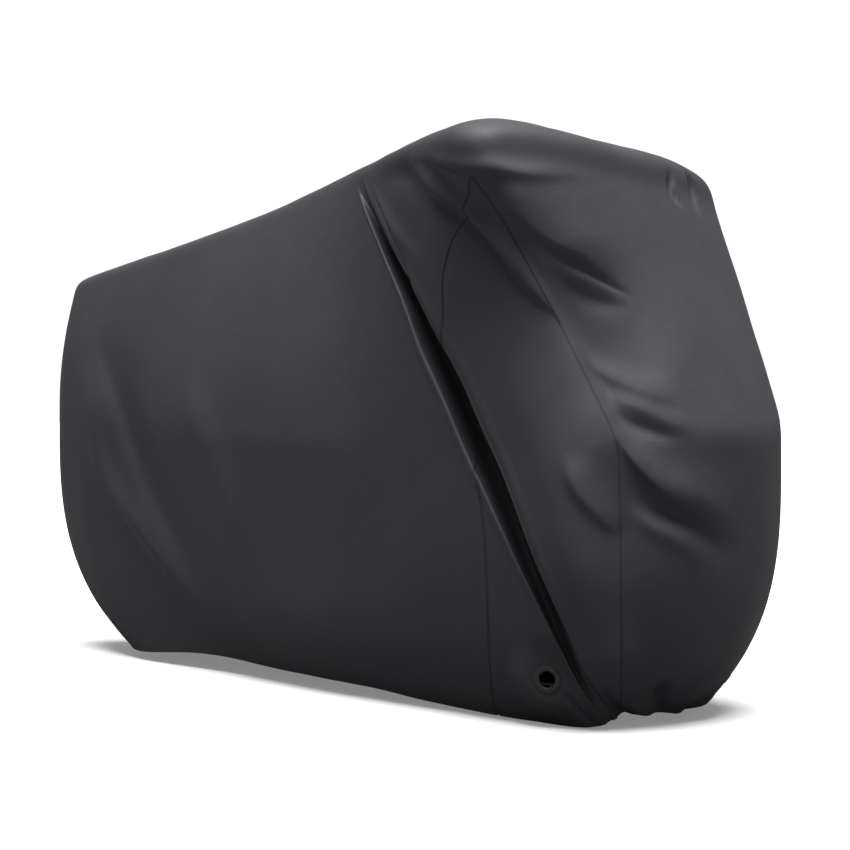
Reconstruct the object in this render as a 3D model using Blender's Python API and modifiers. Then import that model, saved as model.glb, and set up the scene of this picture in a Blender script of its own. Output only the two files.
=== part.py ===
"""A bicycle cover of coated polyester, hanging as it does over a bicycle.

The cloth is one draped surface. Its form comes from a table of stations round the hem, its long
folds from a table of creases, and the two seams on each side from a table of heights. The surface
is cut along the seams into the main cloth and two long triangular gores, and each gore has an
eyelet near its foot.

+X is the front with the handlebar, -Y the side with the chain, +Z up. z = 0 is the lowest point of
the hem, and the middle of the whole cover is over the origin. Everything is in metres.
"""

import math
from typing import NamedTuple

import bmesh
import bpy
import numpy as np
from mathutils import Matrix, Vector
from mathutils.geometry import delaunay_2d_cdt

# ---- driving dimensions -------------------------------------------------------------------------
CLOTH_THICKNESS = 0.002
SEAM_HALF_GAP = 0.00115
FORM_MIDDLE = (-0.0145, -0.0019, 0.0133)

FLAT_GIRTH = 2.2
FLAT_RISE = 1.15
EDGE_STEP = 0.040
FILL_STEP_SHOWN = 0.046
FILL_STEP_FAR = 0.062
LINE_STEP = 0.040
LINE_CLEARANCE = 0.009
FILL_CLEARANCE = 0.62
FILL_MARGIN = 0.018
DEEP_FOLD = 0.009
FLANK_WIDTHS = (0.0, -1.1, 1.1)

EYELET_SHARE = 0.749
EYELET_HEIGHT = 0.068
EYELET_FACING = (0.34, -0.93, -0.14)
EYELET_FLAT_RADIUS = 0.033
EYELET_BLEND_RADIUS = 0.090
EYELET_FOLD_RADIUS = 0.048
EYELET_RING_RADIUS = 0.031
EYELET_RING_POINTS = 20
EYELET_HOLE_RADIUS = 0.0152
EYELET_NECK_RADIUS = 0.0172
EYELET_FLANGE_RADIUS = 0.0250
EYELET_FLANGE_THICKNESS = 0.0017
EYELET_EDGE_ROUND = 0.0007
EYELET_CLEARANCE = 0.00045
EYELET_CLOTH_HOLE_RADIUS = 0.0180
EYELET_SIDES = 36
EYELET_CUTTER_DEPTH = 0.040
EYELET_RING_LOOPS = 6

# ---- the draped form ----------------------------------------------------------------------------
TUCK_POWER = 3.8
RIB_POINTS = 260
ROUNDING_PASSES = 5
LATTICE_COLUMNS = 160
LATTICE_ROWS = 121
LEAN_START_X = 0.0
LEAN_FULL_X = 0.55
LEAN_START_Z = 0.5
LEAN_FULL_Z = 1.0
LEAN_SLOPE = 0.065
LEAN_CURVE = 0.067
SHARE_STEP = 0.002
HEIGHT_STEP = 0.003
SEAM_STEP = 0.005


class Station(NamedTuple):
    """One rib of the form: from the hem out to the belly, up to the brow and in to the crown."""

    share: float
    crown_x: float
    crown_z: float
    brow_x: float
    brow_y: float
    brow_z: float
    belly_x: float
    belly_y: float
    belly_z: float
    hem_x: float
    hem_y: float
    hem_z: float
    stretch: float
    square: float


# share runs round the side shown, from the middle of the rear (0) to the middle of the front (1).
STATIONS = (
    Station(0.0, -0.935, 0.874, -0.961, 0.0, 0.845, -0.979, 0.0, 0.557, -0.666, 0.0, 0.032, 2.0, 2.0),
    Station(0.05, -0.917, 0.885, -0.925, -0.036, 0.853, -0.944, -0.070, 0.595, -0.611, -0.105, 0.033, 2.0, 2.0),
    Station(0.12, -0.788, 0.907, -0.794, -0.050, 0.876, -0.810, -0.125, 0.554, -0.560, -0.135, 0.030, 1.8, 2.0),
    Station(0.25, -0.500, 0.954, -0.500, -0.055, 0.934, -0.520, -0.165, 0.520, -0.330, -0.150, 0.046, 1.6, 2.0),
    Station(0.38, -0.220, 1.009, -0.220, -0.055, 0.987, -0.220, -0.205, 0.500, -0.080, -0.160, 0.042, 1.5, 2.0),
    Station(0.5, 0.040, 1.068, 0.040, -0.079, 1.047, 0.080, -0.240, 0.500, 0.195, -0.190, 0.038, 1.3, 2.2),
    Station(0.6, 0.280, 1.080, 0.287, -0.205, 1.054, 0.360, -0.270, 0.500, 0.437, -0.208, 0.021, 1.2, 3.0),
    Station(0.7, 0.470, 1.088, 0.501, -0.324, 1.025, 0.600, -0.295, 0.500, 0.640, -0.215, 0.015, 1.1, 3.4),
    Station(0.78, 0.562, 1.094, 0.596, -0.362, 1.001, 0.760, -0.280, 0.510, 0.776, -0.200, 0.016, 1.1, 3.5),
    Station(0.85, 0.600, 1.083, 0.660, -0.330, 1.014, 0.870, -0.230, 0.520, 0.808, -0.143, 0.034, 1.05, 3.0),
    Station(0.92, 0.620, 1.077, 0.695, -0.200, 1.009, 0.930, -0.130, 0.530, 0.825, -0.070, 0.031, 1.05, 2.6),
    Station(1.0, 0.632, 1.073, 0.704, 0.0, 1.009, 0.950, 0.0, 0.530, 0.830, 0.0, 0.031, 1.05, 2.4),
)


class FarShift(NamedTuple):
    """How far a rib of the far side stands off from its twin on the side shown."""

    share: float
    brow_z: float
    belly_x: float
    belly_y: float
    belly_z: float
    hem_x: float
    hem_y: float
    hem_z: float


FAR_SHIFTS = (
    FarShift(0.25, 0.000, 0.000, 0.000, 0.000, 0.000, 0.000, -0.006),
    FarShift(0.38, 0.000, 0.000, 0.000, 0.000, 0.000, 0.000, -0.020),
    FarShift(0.50, 0.000, 0.000, 0.000, 0.000, 0.000, 0.000, -0.023),
    FarShift(0.60, 0.000, 0.000, 0.000, 0.000, -0.030, 0.030, -0.006),
    FarShift(0.70, 0.002, 0.000, 0.000, 0.000, -0.036, 0.035, 0.000),
    FarShift(0.78, 0.010, 0.014, -0.004, 0.036, -0.036, 0.035, 0.000),
    FarShift(0.85, 0.000, 0.012, -0.004, 0.030, -0.016, 0.016, 0.000),
)


class SeamLevel(NamedTuple):
    """Where the two seams of a side lie at one height of the ribs (0 hem, 1 crown)."""

    height: float
    rear: float
    front: float


SEAMS = (
    SeamLevel(0.000, 0.663, 0.838),
    SeamLevel(0.100, 0.692, 0.845),
    SeamLevel(0.200, 0.703, 0.846),
    SeamLevel(0.290, 0.700, 0.845),
    SeamLevel(0.410, 0.680, 0.840),
    SeamLevel(0.527, 0.674, 0.829),
    SeamLevel(0.605, 0.686, 0.813),
    SeamLevel(0.640, 0.712, 0.805),
    SeamLevel(0.665, 0.752, 0.799),
    SeamLevel(0.691, 0.793, 0.793),
)
SEAM_STEPS = 26
SEAM_CROWDING = 1.7


class Fold(NamedTuple):
    """A crease: a curve by shares and heights, and the ridge (+) or trough (-) that follows it.

    share is 0 to 1 round the side shown, and 1 to 2 back round the far side.
    """

    name: str
    share_top: float
    height_top: float
    share_bend: float
    height_bend: float
    share_foot: float
    height_foot: float
    width_top: float
    width_foot: float
    rise: float
    lean: float
    fade_top: float
    fade_foot: float


FOLDS = (
    Fold("main_ridge", 0.524, 0.884, 0.656, 0.434, 0.805, 0.0, 0.014, 0.012, 0.014, 0.004, 0.1, 0.0),
    Fold("main_trough", 0.547, 0.822, 0.690, 0.434, 0.808, 0.0, 0.015, 0.012, -0.036, 0.0, 0.12, 0.0),
    Fold("main_third", 0.540, 0.880, 0.606, 0.699, 0.673, 0.517, 0.012, 0.012, 0.008, 0.0, 0.2, 0.3),
    Fold("shoulder_dip", 0.563, 0.837, 0.642, 0.752, 0.683, 0.644, 0.022, 0.022, -0.008, 0.0, 0.3, 0.3),
    Fold("brow_tuck", 0.655, 0.775, 0.713, 0.708, 0.785, 0.686, 0.014, 0.014, -0.017, 0.0, 0.2, 0.4),
    Fold("brow_edge", 0.662, 0.795, 0.770, 0.720, 0.900, 0.790, 0.014, 0.016, 0.007, 0.0, 0.2, 0.4),
    Fold("gore_valley", 0.650, 0.765, 0.757, 0.614, 0.875, 0.480, 0.016, 0.030, -0.026, 0.0, 0.15, 0.35),
    Fold("front_pleat_upper", 0.805, 0.664, 0.879, 0.644, 0.955, 0.648, 0.014, 0.015, -0.017, 0.0, 0.25, 0.3),
    Fold("front_pleat_lower", 0.860, 0.606, 0.905, 0.603, 0.945, 0.610, 0.013, 0.013, -0.012, 0.0, 0.3, 0.3),
    Fold("front_elbow", 0.838, 0.505, 0.876, 0.507, 0.866, 0.450, 0.014, 0.014, 0.009, 0.0, 0.3, 0.3),
    Fold("gore_foot_valley", 0.790, 0.355, 0.809, 0.271, 0.850, 0.240, 0.018, 0.016, -0.014, 0.0, 0.3, 0.3),
    Fold("front_low_ridge", 0.836, 0.380, 0.880, 0.314, 0.945, 0.328, 0.017, 0.017, 0.010, 0.0, 0.3, 0.3),
    Fold("front_low_valley", 0.860, 0.335, 0.914, 0.300, 0.975, 0.290, 0.017, 0.020, -0.013, 0.0, 0.3, 0.3),
    Fold("rear_swell", 0.149, 0.680, 0.341, 0.489, 0.358, 0.120, 0.045, 0.040, 0.012, 0.0, 0.3, 0.3),
    Fold("rear_hollow", 0.215, 0.620, 0.384, 0.405, 0.375, 0.070, 0.028, 0.026, -0.013, 0.0, 0.3, 0.3),
    Fold("far_ridge", 1.476, 0.886, 1.350, 0.445, 1.205, 0.0, 0.018, 0.016, 0.012, 0.0, 0.1, 0.0),
    Fold("far_trough", 1.450, 0.820, 1.316, 0.440, 1.188, 0.0, 0.020, 0.018, -0.020, 0.0, 0.15, 0.0),
    Fold("far_valley", 1.345, 0.760, 1.250, 0.610, 1.140, 0.480, 0.024, 0.032, -0.016, 0.0, 0.25, 0.35),
    Fold("far_hollow", 1.790, 0.640, 1.630, 0.420, 1.640, 0.070, 0.034, 0.030, -0.012, 0.0, 0.3, 0.3),
)
FOLD_STEPS = 60
FOLD_REACH = 4


def hermite(keys, values, at, flat_ends):
    """A smooth curve through keys and values, level at its ends where flat_ends is set."""
    step = np.diff(keys)
    slope = np.diff(values) / step
    tangent = np.zeros_like(values)
    tangent[1:-1] = (slope[:-1] * step[1:] + slope[1:] * step[:-1]) / (step[:-1] + step[1:])
    if not flat_ends:
        tangent[0], tangent[-1] = slope[0], slope[-1]
    cell = np.clip(np.searchsorted(keys, at, side="right") - 1, 0, len(step) - 1)
    t = (at - keys[cell]) / step[cell]
    start = (2 * t**3 - 3 * t**2 + 1) * values[cell] + (t**3 - 2 * t**2 + t) * step[cell] * tangent[cell]
    end = (3 * t**2 - 2 * t**3) * values[cell + 1] + (t**3 - t**2) * step[cell] * tangent[cell + 1]
    return start + end


def smooth_step(value, low, high):
    t = np.clip((value - low) / (high - low), 0.0, 1.0)
    return t * t * (3 - 2 * t)


def far_stations():
    """The stations of the far side, as if it were the side shown."""
    shifts = {shift.share: shift for shift in FAR_SHIFTS}
    rows = []
    for row in STATIONS:
        shift = shifts.get(row.share)
        if shift:
            moved = {name: getattr(row, name) + getattr(shift, name) for name in FarShift._fields[1:]}
            row = row._replace(**moved)
        rows.append(row)
    return rows


def ribs(stations, shares):
    """One rib for each share, as LATTICE_ROWS points at even distances from hem to crown."""
    table = np.array(stations)
    read = {
        name: hermite(table[:, 0], table[:, i], shares, not name.endswith("_y"))
        for i, name in enumerate(Station._fields)
    }
    read["crown_y"] = np.zeros_like(shares)

    def corner(name):
        return np.stack([read[f"{name}_{axis}"] for axis in "xyz"], axis=-1)[:, None]

    hem, belly, brow, crown = (corner(name) for name in ("hem", "belly", "brow", "crown"))
    level, upright = np.array([1, 1, 0]), np.array([0, 0, 1])
    t = np.linspace(0, 1, RIB_POINTS)[None, :, None]
    stretch, square = (read[name][:, None, None] for name in ("stretch", "square"))
    lower = hem + (belly - hem) * ((1 - (1 - t) ** TUCK_POWER) * level + t * upright)
    upper = belly + (brow - belly) * (t**stretch * level + t * upright)
    across, up = np.cos(t * np.pi / 2) ** (2 / square), np.sin(t * np.pi / 2) ** (2 / square)
    top = crown * level + brow * upright + (brow - crown) * level * across + (crown - brow) * upright * up
    line = np.concatenate([lower[:, :-1], upper[:, :-1], top], axis=1)
    run = np.cumsum(np.linalg.norm(np.diff(line, axis=1), axis=2), axis=1)
    run = np.concatenate([np.zeros((len(shares), 1)), run], axis=1)
    points = np.empty((len(shares), LATTICE_ROWS, 3))
    for i in range(len(shares)):
        even = np.linspace(0, run[i, -1], LATTICE_ROWS)
        for axis in range(3):
            points[i, :, axis] = np.interp(even, run[i], line[i, :, axis])
    for _ in range(ROUNDING_PASSES):
        points[:, 1:-1] = 0.25 * points[:, :-2] + 0.5 * points[:, 1:-1] + 0.25 * points[:, 2:]
    return points


def lean(points):
    """Lowers the handlebar's far end a little, as the bar is turned."""
    x, y, z = points[..., 0], points[..., 1], points[..., 2]
    share = smooth_step(x, LEAN_START_X, LEAN_FULL_X) * smooth_step(z, LEAN_START_Z, LEAN_FULL_Z)
    return np.stack([x, y, z - (LEAN_SLOPE * y + LEAN_CURVE * y * y) * share], axis=-1)


def form_lattice():
    """The smooth form as a closed ring of ribs, round the side shown and back along the far side."""
    shares = np.linspace(0, 1, LATTICE_COLUMNS + 1)
    shown = lean(ribs(STATIONS, shares))
    far = lean(ribs(far_stations(), shares) * np.array([1, -1, 1]))
    return np.concatenate([shown, far[::-1][1:-1]], axis=0) - np.array(FORM_MIDDLE)


class Form:
    """The smooth form, and the cloth that lies on it in folds."""

    def __init__(self):
        self.lattice = form_lattice()
        self.creases = [self.crease(fold) for fold in FOLDS]
        self.eyelets = [self.eyelet_place(False), self.eyelet_place(True)]

    def smooth(self, share, height):
        """Points of the smooth form, by cubic interpolation on the ring of ribs."""
        ring, rows = self.lattice.shape[:2]
        column = np.mod(np.asarray(share, float), 2.0) * (ring / 2)
        row = np.clip(np.asarray(height, float), 0, 1) * (rows - 1)
        i = np.floor(column).astype(int)
        j = np.minimum(np.floor(row).astype(int), rows - 2)

        def weights(t):
            return (
                -0.5 * t + t * t - 0.5 * t**3,
                1 - 2.5 * t * t + 1.5 * t**3,
                0.5 * t + 2 * t * t - 1.5 * t**3,
                -0.5 * t * t + 0.5 * t**3,
            )

        total = 0
        for p, weight_i in enumerate(weights(column - i)):
            at_i = np.mod(i + p - 1, ring)
            below_hem = 2 * self.lattice[at_i, 0] - self.lattice[at_i, 1]
            past_crown = self.lattice[np.mod(ring - at_i, ring), rows - 2]
            for q, weight_j in enumerate(weights(row - j)):
                at_j = j + q - 1
                point = self.lattice[at_i, np.clip(at_j, 0, rows - 1)]
                point = np.where((at_j < 0)[..., None], below_hem, point)
                point = np.where((at_j > rows - 1)[..., None], past_crown, point)
                total = total + (weight_i * weight_j)[..., None] * point
        return total

    def normal(self, share, height):
        """Outward unit normals of the smooth form."""
        low, high = np.maximum(height - HEIGHT_STEP, 0), np.minimum(height + HEIGHT_STEP, 1)
        along = self.smooth(share + SHARE_STEP, height) - self.smooth(share - SHARE_STEP, height)
        up = self.smooth(share, high) - self.smooth(share, low)
        normal = np.cross(along, up)
        return normal / np.linalg.norm(normal, axis=-1, keepdims=True)

    def crease(self, fold):
        """The fold, the shares and heights along it, and its points on the smooth form."""
        t = np.linspace(0, 1, FOLD_STEPS)
        a, b, c = (1 - t) ** 2, 2 * t * (1 - t), t**2
        share = a * fold.share_top + b * fold.share_bend + c * fold.share_foot
        height = a * fold.height_top + b * fold.height_bend + c * fold.height_foot
        return fold, share, height, self.smooth(share, height)

    def eyelet_place(self, far):
        """Centre on the outer face, and outward axis, of one eyelet."""
        mirror = np.array([1, -1, 1]) if far else np.ones(3)
        share = np.array([2 - EYELET_SHARE if far else EYELET_SHARE])
        centre = self.smooth(share, np.array([EYELET_HEIGHT]))[0]
        axis = np.array(EYELET_FACING) * mirror
        return centre, axis / np.linalg.norm(axis)

    def eyelet_ring(self, far):
        """Shares and heights of a circle round an eyelet, on the flat cloth that it clamps."""
        centre, axis = self.eyelets[int(far)]
        level = np.cross((0, 0, 1), axis)
        level /= np.linalg.norm(level)
        turn = np.linspace(0, 2 * np.pi, EYELET_RING_POINTS, endpoint=False)[:, None]
        target = centre + EYELET_RING_RADIUS * (np.cos(turn) * level + np.sin(turn) * np.cross(axis, level))
        frame = np.stack([level, np.cross(axis, level)], axis=1)
        share = np.full(EYELET_RING_POINTS, 2 - EYELET_SHARE if far else EYELET_SHARE)
        height = np.full(EYELET_RING_POINTS, EYELET_HEIGHT)
        for _ in range(EYELET_RING_LOOPS):
            point = self.smooth(share, height)
            by_share = (self.smooth(share + SHARE_STEP, height) - point) / SHARE_STEP
            by_height = (self.smooth(share, height + HEIGHT_STEP) - point) / HEIGHT_STEP
            slopes = np.stack([by_share @ frame, by_height @ frame], axis=2)
            step = np.linalg.solve(slopes, ((target - point) @ frame)[..., None])[..., 0]
            share, height = share + step[:, 0], height + step[:, 1]
        return share, height

    def draped(self, share, height):
        """Points of the cloth's outer face."""
        share, height = np.asarray(share, float), np.asarray(height, float)
        base, normal = self.smooth(share, height), self.normal(share, height)
        moved = self.flattened(base, EYELET_BLEND_RADIUS)
        for fold, _, _, line in self.creases:
            moved += fold_shift(fold, line, base, normal)
        return self.flattened(moved, EYELET_FOLD_RADIUS)

    def flattened(self, points, blend_radius):
        """The points with the cloth round each eyelet laid flat, blending out at blend_radius."""
        for centre, axis in self.eyelets:
            off = (points - centre) @ axis
            apart = np.linalg.norm(points - centre - off[:, None] * axis, axis=1)
            flat = 1 - smooth_step(apart, EYELET_FLAT_RADIUS, blend_radius)
            flat = np.where(np.abs(off) < blend_radius, flat, 0)
            points = points - (off * flat)[:, None] * axis
        return points


def fold_shift(fold, line, base, normal):
    """How far one fold moves each point: out along the normal, and across by its lean."""
    shift = np.zeros_like(base)
    reach = FOLD_REACH * max(fold.width_top, fold.width_foot)
    near = np.all((base > line.min(axis=0) - reach) & (base < line.max(axis=0) + reach), axis=1)
    if not near.any():
        return shift
    point, out = base[near], normal[near]
    start, run = line[:-1], np.diff(line, axis=0)
    t = np.einsum("nkj,kj->nk", point[:, None] - start[None], run) / (run**2).sum(axis=1)
    t = np.clip(t, 0, 1)
    offset = point[:, None] - (start[None] + t[..., None] * run[None])
    gap = np.linalg.norm(offset, axis=2)
    best = gap.argmin(axis=1)
    rows = np.arange(len(point))
    along = (best + t[rows, best]) / len(run)
    gap = gap[rows, best]
    across = np.cross(run[best], out)
    across /= np.linalg.norm(across, axis=1, keepdims=True)
    width = fold.width_top + (fold.width_foot - fold.width_top) * along
    strength = np.exp(-((gap / width) ** 2))
    if fold.fade_top:
        strength *= smooth_step(along, 0, fold.fade_top)
    if fold.fade_foot:
        strength *= smooth_step(1 - along, 0, fold.fade_foot)
    shift[near] = strength[:, None] * (fold.rise * out - fold.lean * across)
    return shift


# ---- the flat plan that is meshed ---------------------------------------------------------------
# The plan is FLAT_GIRTH wide and 2 * FLAT_RISE high: the side shown below, the far side above it
# upside down, joined at the crown. Its left and right edges close on themselves in the solid.


def seam_levels():
    """Heights at which both edges of a seam have their points, closer together near the apex."""
    top = SEAMS[-1].height
    return [top * (1 - (1 - i / SEAM_STEPS) ** SEAM_CROWDING) for i in range(SEAM_STEPS)]


def seam_share(height, front):
    table = np.array(SEAMS)
    return hermite(table[:, 0], table[:, 2 if front else 1], np.array([height]), False)[0]


def seam_edge(form, height, front, outside):
    """Share of a cloth edge beside a seam, off the seam's own line by half the gap."""
    share = seam_share(height, front)
    across = form.smooth(np.array([share - SEAM_STEP, share + SEAM_STEP]), np.array([height, height]))
    across = (across[1] - across[0]) / (2 * SEAM_STEP)
    low, high = max(height - SEAM_STEP, 0.0), min(height + SEAM_STEP, SEAMS[-1].height)
    shares = np.array([seam_share(low, front), seam_share(high, front)])
    along = form.smooth(shares, np.array([low, high]))
    along = (along[1] - along[0]) / np.linalg.norm(along[1] - along[0])
    square_on = np.linalg.norm(across - (across @ along) * along)
    away = 1 if front == outside else -1
    return share + away * SEAM_HALF_GAP / square_on


def plan(share, height, far):
    """Plan coordinates of a share and height on the side shown or on the far side."""
    return share * FLAT_GIRTH, (2 - height if far else height) * FLAT_RISE


def from_plan(points):
    """Share round the whole ring and height for plan coordinates."""
    a, b = points[:, 0] / FLAT_GIRTH, points[:, 1] / FLAT_RISE
    far = b > 1
    return np.where(far, 2 - a, a), np.where(far, 2 - b, b)


def subdivide(start, end, step):
    """Points from start towards end, without end, no further apart than step."""
    start, end = np.array(start), np.array(end)
    count = max(1, round(float(np.linalg.norm(end - start)) / step))
    return [tuple(start + (end - start) * i / count) for i in range(count)]


def slit(form, far):
    """The main cloth's edge round one gore, from the rear seam's foot over the apex to the front's."""
    levels = seam_levels()
    rear = [plan(seam_edge(form, z, False, True), z, far) for z in levels]
    front = [plan(seam_edge(form, z, True, True), z, far) for z in levels]
    apex = plan(SEAMS[-1].rear, SEAMS[-1].height, far)
    return rear + [apex] + front[::-1]


def main_outline(form):
    """The main cloth's outline in the plan, counterclockwise."""
    width, height = FLAT_GIRTH, 2 * FLAT_RISE
    shown, far = slit(form, False), slit(form, True)[::-1]
    outline = subdivide((0, 0), shown[0], EDGE_STEP) + shown[:-1]
    outline += subdivide(shown[-1], (width, 0), EDGE_STEP)
    outline += subdivide((width, 0), (width, height), EDGE_STEP)
    outline += subdivide((width, height), far[0], EDGE_STEP) + far[:-1]
    outline += subdivide(far[-1], (0, height), EDGE_STEP)
    outline += subdivide((0, height), (0, 0), EDGE_STEP)
    return np.array(outline)


def gore_outline(form, far):
    """A gore's outline in the plan, counterclockwise."""
    levels = seam_levels()[:-1]
    rear = [plan(seam_edge(form, z, False, False), z, far) for z in levels]
    front = [plan(seam_edge(form, z, True, False), z, far) for z in levels]
    outline = subdivide(rear[0], front[0], EDGE_STEP) + front + rear[:0:-1]
    if far:
        outline = outline[::-1]
    return np.array(outline)


def inside(outline, points, margin):
    """Which points lie inside an outline and at least margin from it."""
    start, end = outline, np.roll(outline, -1, axis=0)
    x, y = points[:, 0][:, None], points[:, 1][:, None]
    spans = (start[:, 1] > y) != (end[:, 1] > y)
    rise = np.where(spans, end[:, 1] - start[:, 1], 1.0)
    crossing = start[:, 0] + (y - start[:, 1]) * (end[:, 0] - start[:, 0]) / rise
    within = (spans & (x < crossing)).sum(axis=1) % 2 == 1
    run = end - start
    t = np.einsum("nkj,kj->nk", points[:, None] - start[None], run) / (run**2).sum(axis=1)
    offset = points[:, None] - (start[None] + np.clip(t, 0, 1)[..., None] * run[None])
    return within & (np.linalg.norm(offset, axis=2).min(axis=1) > margin)


def fold_lines(form):
    """Lines in the plan along the deep folds: the fold's own line and its flanks."""
    lines = []
    for fold, share, height, _ in form.creases:
        if abs(fold.rise) < DEEP_FOLD:
            continue
        far = share[0] > 1
        x, y = plan(2 - share if far else share, height, far)
        line = np.stack([x, y], axis=1)
        run = np.diff(line, axis=0)
        length = np.concatenate([[0], np.cumsum(np.linalg.norm(run, axis=1))])
        count = max(2, round(length[-1] / LINE_STEP))
        even = np.linspace(0, length[-1], count + 1)
        line = np.stack([np.interp(even, length, line[:, k]) for k in range(2)], axis=1)
        along = np.gradient(line, axis=0)
        across = np.stack([-along[:, 1], along[:, 0]], axis=1)
        across /= np.linalg.norm(across, axis=1, keepdims=True)
        width = np.linspace(fold.width_top, fold.width_foot, len(line))[:, None]
        lines += [line + across * width * times for times in FLANK_WIDTHS]
    return lines


def fill_points():
    """Staggered points that fill the plan, wider apart on the far side."""
    points = []
    row, y = 0, 0.0
    while y < 2 * FLAT_RISE:
        step = FILL_STEP_SHOWN if y < FLAT_RISE else FILL_STEP_FAR
        count = round(FLAT_GIRTH / step)
        points += [((i + 0.5 * (row % 2)) * FLAT_GIRTH / count, y) for i in range(count + 1)]
        row, y = row + 1, y + step * math.sqrt(0.75)
    return np.array(points)


def plan_triangles(form, outline):
    """Triangles of the plan inside an outline, with edges along the deep folds."""
    points, edges = [tuple(p) for p in outline], []
    rings = []
    for far in (False, True):
        share, height = form.eyelet_ring(far)
        ring = np.stack(plan(2 - share if far else share, height, far), axis=1)
        if inside(outline, ring, 0.0).all():
            first = len(points)
            points += [tuple(p) for p in ring]
            edges += [(first + i, first + (i + 1) % len(ring)) for i in range(len(ring))]
            rings.append(ring)
    for line in fold_lines(form):
        keep = inside(outline, line, LINE_CLEARANCE)
        last = None
        for point, kept in zip(line, keep):
            taken = np.array(points)
            on_ring = any(inside(ring, point[None], 0.0)[0] for ring in rings)
            if kept and not on_ring and np.linalg.norm(taken - point, axis=1).min() > LINE_CLEARANCE:
                points.append(tuple(point))
                if last is not None:
                    edges.append((last, len(points) - 1))
                last = len(points) - 1
            else:
                last = None
    fill = fill_points()
    for point in fill[inside(outline, fill, FILL_MARGIN)]:
        step = FILL_STEP_SHOWN if point[1] < FLAT_RISE else FILL_STEP_FAR
        on_ring = any(inside(ring, point[None], 0.0)[0] for ring in rings)
        if not on_ring and np.linalg.norm(np.array(points) - point, axis=1).min() > FILL_CLEARANCE * step:
            points.append(tuple(point))
    rim = list(range(len(outline)))
    made = delaunay_2d_cdt([Vector(p) for p in points], edges, [rim], 1, 1e-6)
    corners = np.array([tuple(v) for v in made[0]])
    faces = np.array([face for face in made[2] if len(face) == 3])
    middle = corners[faces].mean(axis=1)
    return corners, faces[inside(outline, middle, 0.0)]


# ---- objects ------------------------------------------------------------------------------------
def clear_scene():
    for obj in list(bpy.data.objects):
        bpy.data.objects.remove(obj, do_unlink=True)


def new_collection(name, helper=False):
    collection = bpy.data.collections.new(name)
    collection.hide_render = helper
    bpy.context.scene.collection.children.link(collection)
    return collection


def material(name, colour, roughness):
    made = bpy.data.materials.new(name)
    made.use_nodes = True
    made.diffuse_color = (*colour, 1.0)
    shader = made.node_tree.nodes["Principled BSDF"]
    shader.inputs["Base Color"].default_value = (*colour, 1.0)
    shader.inputs["Roughness"].default_value = roughness
    shader.inputs["Metallic"].default_value = 0.0
    return made


def cloth_object(name, form, outline, finish, collection):
    """A piece of cloth: its outer face on the draped form, and its thickness inward."""
    corners, faces = plan_triangles(form, outline)
    share, height = from_plan(corners)
    points = form.draped(share, height)
    mesh = bpy.data.meshes.new(name)
    mesh.from_pydata([tuple(p) for p in points], [], [tuple(int(i) for i in f) for f in faces])
    work = bmesh.new()
    work.from_mesh(mesh)
    bmesh.ops.remove_doubles(work, verts=work.verts, dist=1e-6)
    loose = [vert for vert in work.verts if not vert.link_faces]
    bmesh.ops.delete(work, geom=loose, context="VERTS")
    work.to_mesh(mesh)
    work.free()
    mesh.materials.append(finish)
    mesh.shade_smooth()
    obj = bpy.data.objects.new(name, mesh)
    collection.objects.link(obj)
    solid = obj.modifiers.new("thickness", "SOLIDIFY")
    solid.thickness = CLOTH_THICKNESS
    solid.offset = -1.0
    solid.use_quality_normals = True
    return obj


def facing(centre, axis):
    """A matrix that stands a turned piece at centre with its own +Z along axis."""
    turn = Vector(axis).to_track_quat("Z", "Y").to_matrix().to_4x4()
    return Matrix.Translation(Vector(centre)) @ turn


def eyelet_hole(name, form, far, collection):
    """The cutter for the hole that an eyelet sits in."""
    centre, axis = form.eyelets[int(far)]
    work = bmesh.new()
    bmesh.ops.create_cone(
        work,
        cap_ends=True,
        segments=EYELET_SIDES,
        radius1=EYELET_CLOTH_HOLE_RADIUS,
        radius2=EYELET_CLOTH_HOLE_RADIUS,
        depth=EYELET_CUTTER_DEPTH,
    )
    mesh = bpy.data.meshes.new(name)
    work.to_mesh(mesh)
    work.free()
    obj = bpy.data.objects.new(name, mesh)
    obj.matrix_world = facing(centre, axis)
    obj.display_type = "WIRE"
    obj.hide_render = True
    collection.objects.link(obj)
    return obj


def eyelet_profile():
    """Half section of the ring, as radius and depth below the cloth's outer face, top to bottom."""
    top = EYELET_CLEARANCE + EYELET_FLANGE_THICKNESS
    foot = -CLOTH_THICKNESS - EYELET_CLEARANCE - EYELET_FLANGE_THICKNESS
    rim, neck, hole, bevel = (
        EYELET_FLANGE_RADIUS,
        EYELET_NECK_RADIUS,
        EYELET_HOLE_RADIUS,
        EYELET_EDGE_ROUND,
    )
    return (
        (hole, top - bevel),
        (hole + bevel, top),
        (rim - bevel, top),
        (rim, top - bevel),
        (rim, EYELET_CLEARANCE),
        (neck, EYELET_CLEARANCE),
        (neck, -CLOTH_THICKNESS - EYELET_CLEARANCE),
        (rim, -CLOTH_THICKNESS - EYELET_CLEARANCE),
        (rim, foot + bevel),
        (rim - bevel, foot),
        (hole + bevel, foot),
        (hole, foot + bevel),
    )


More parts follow.
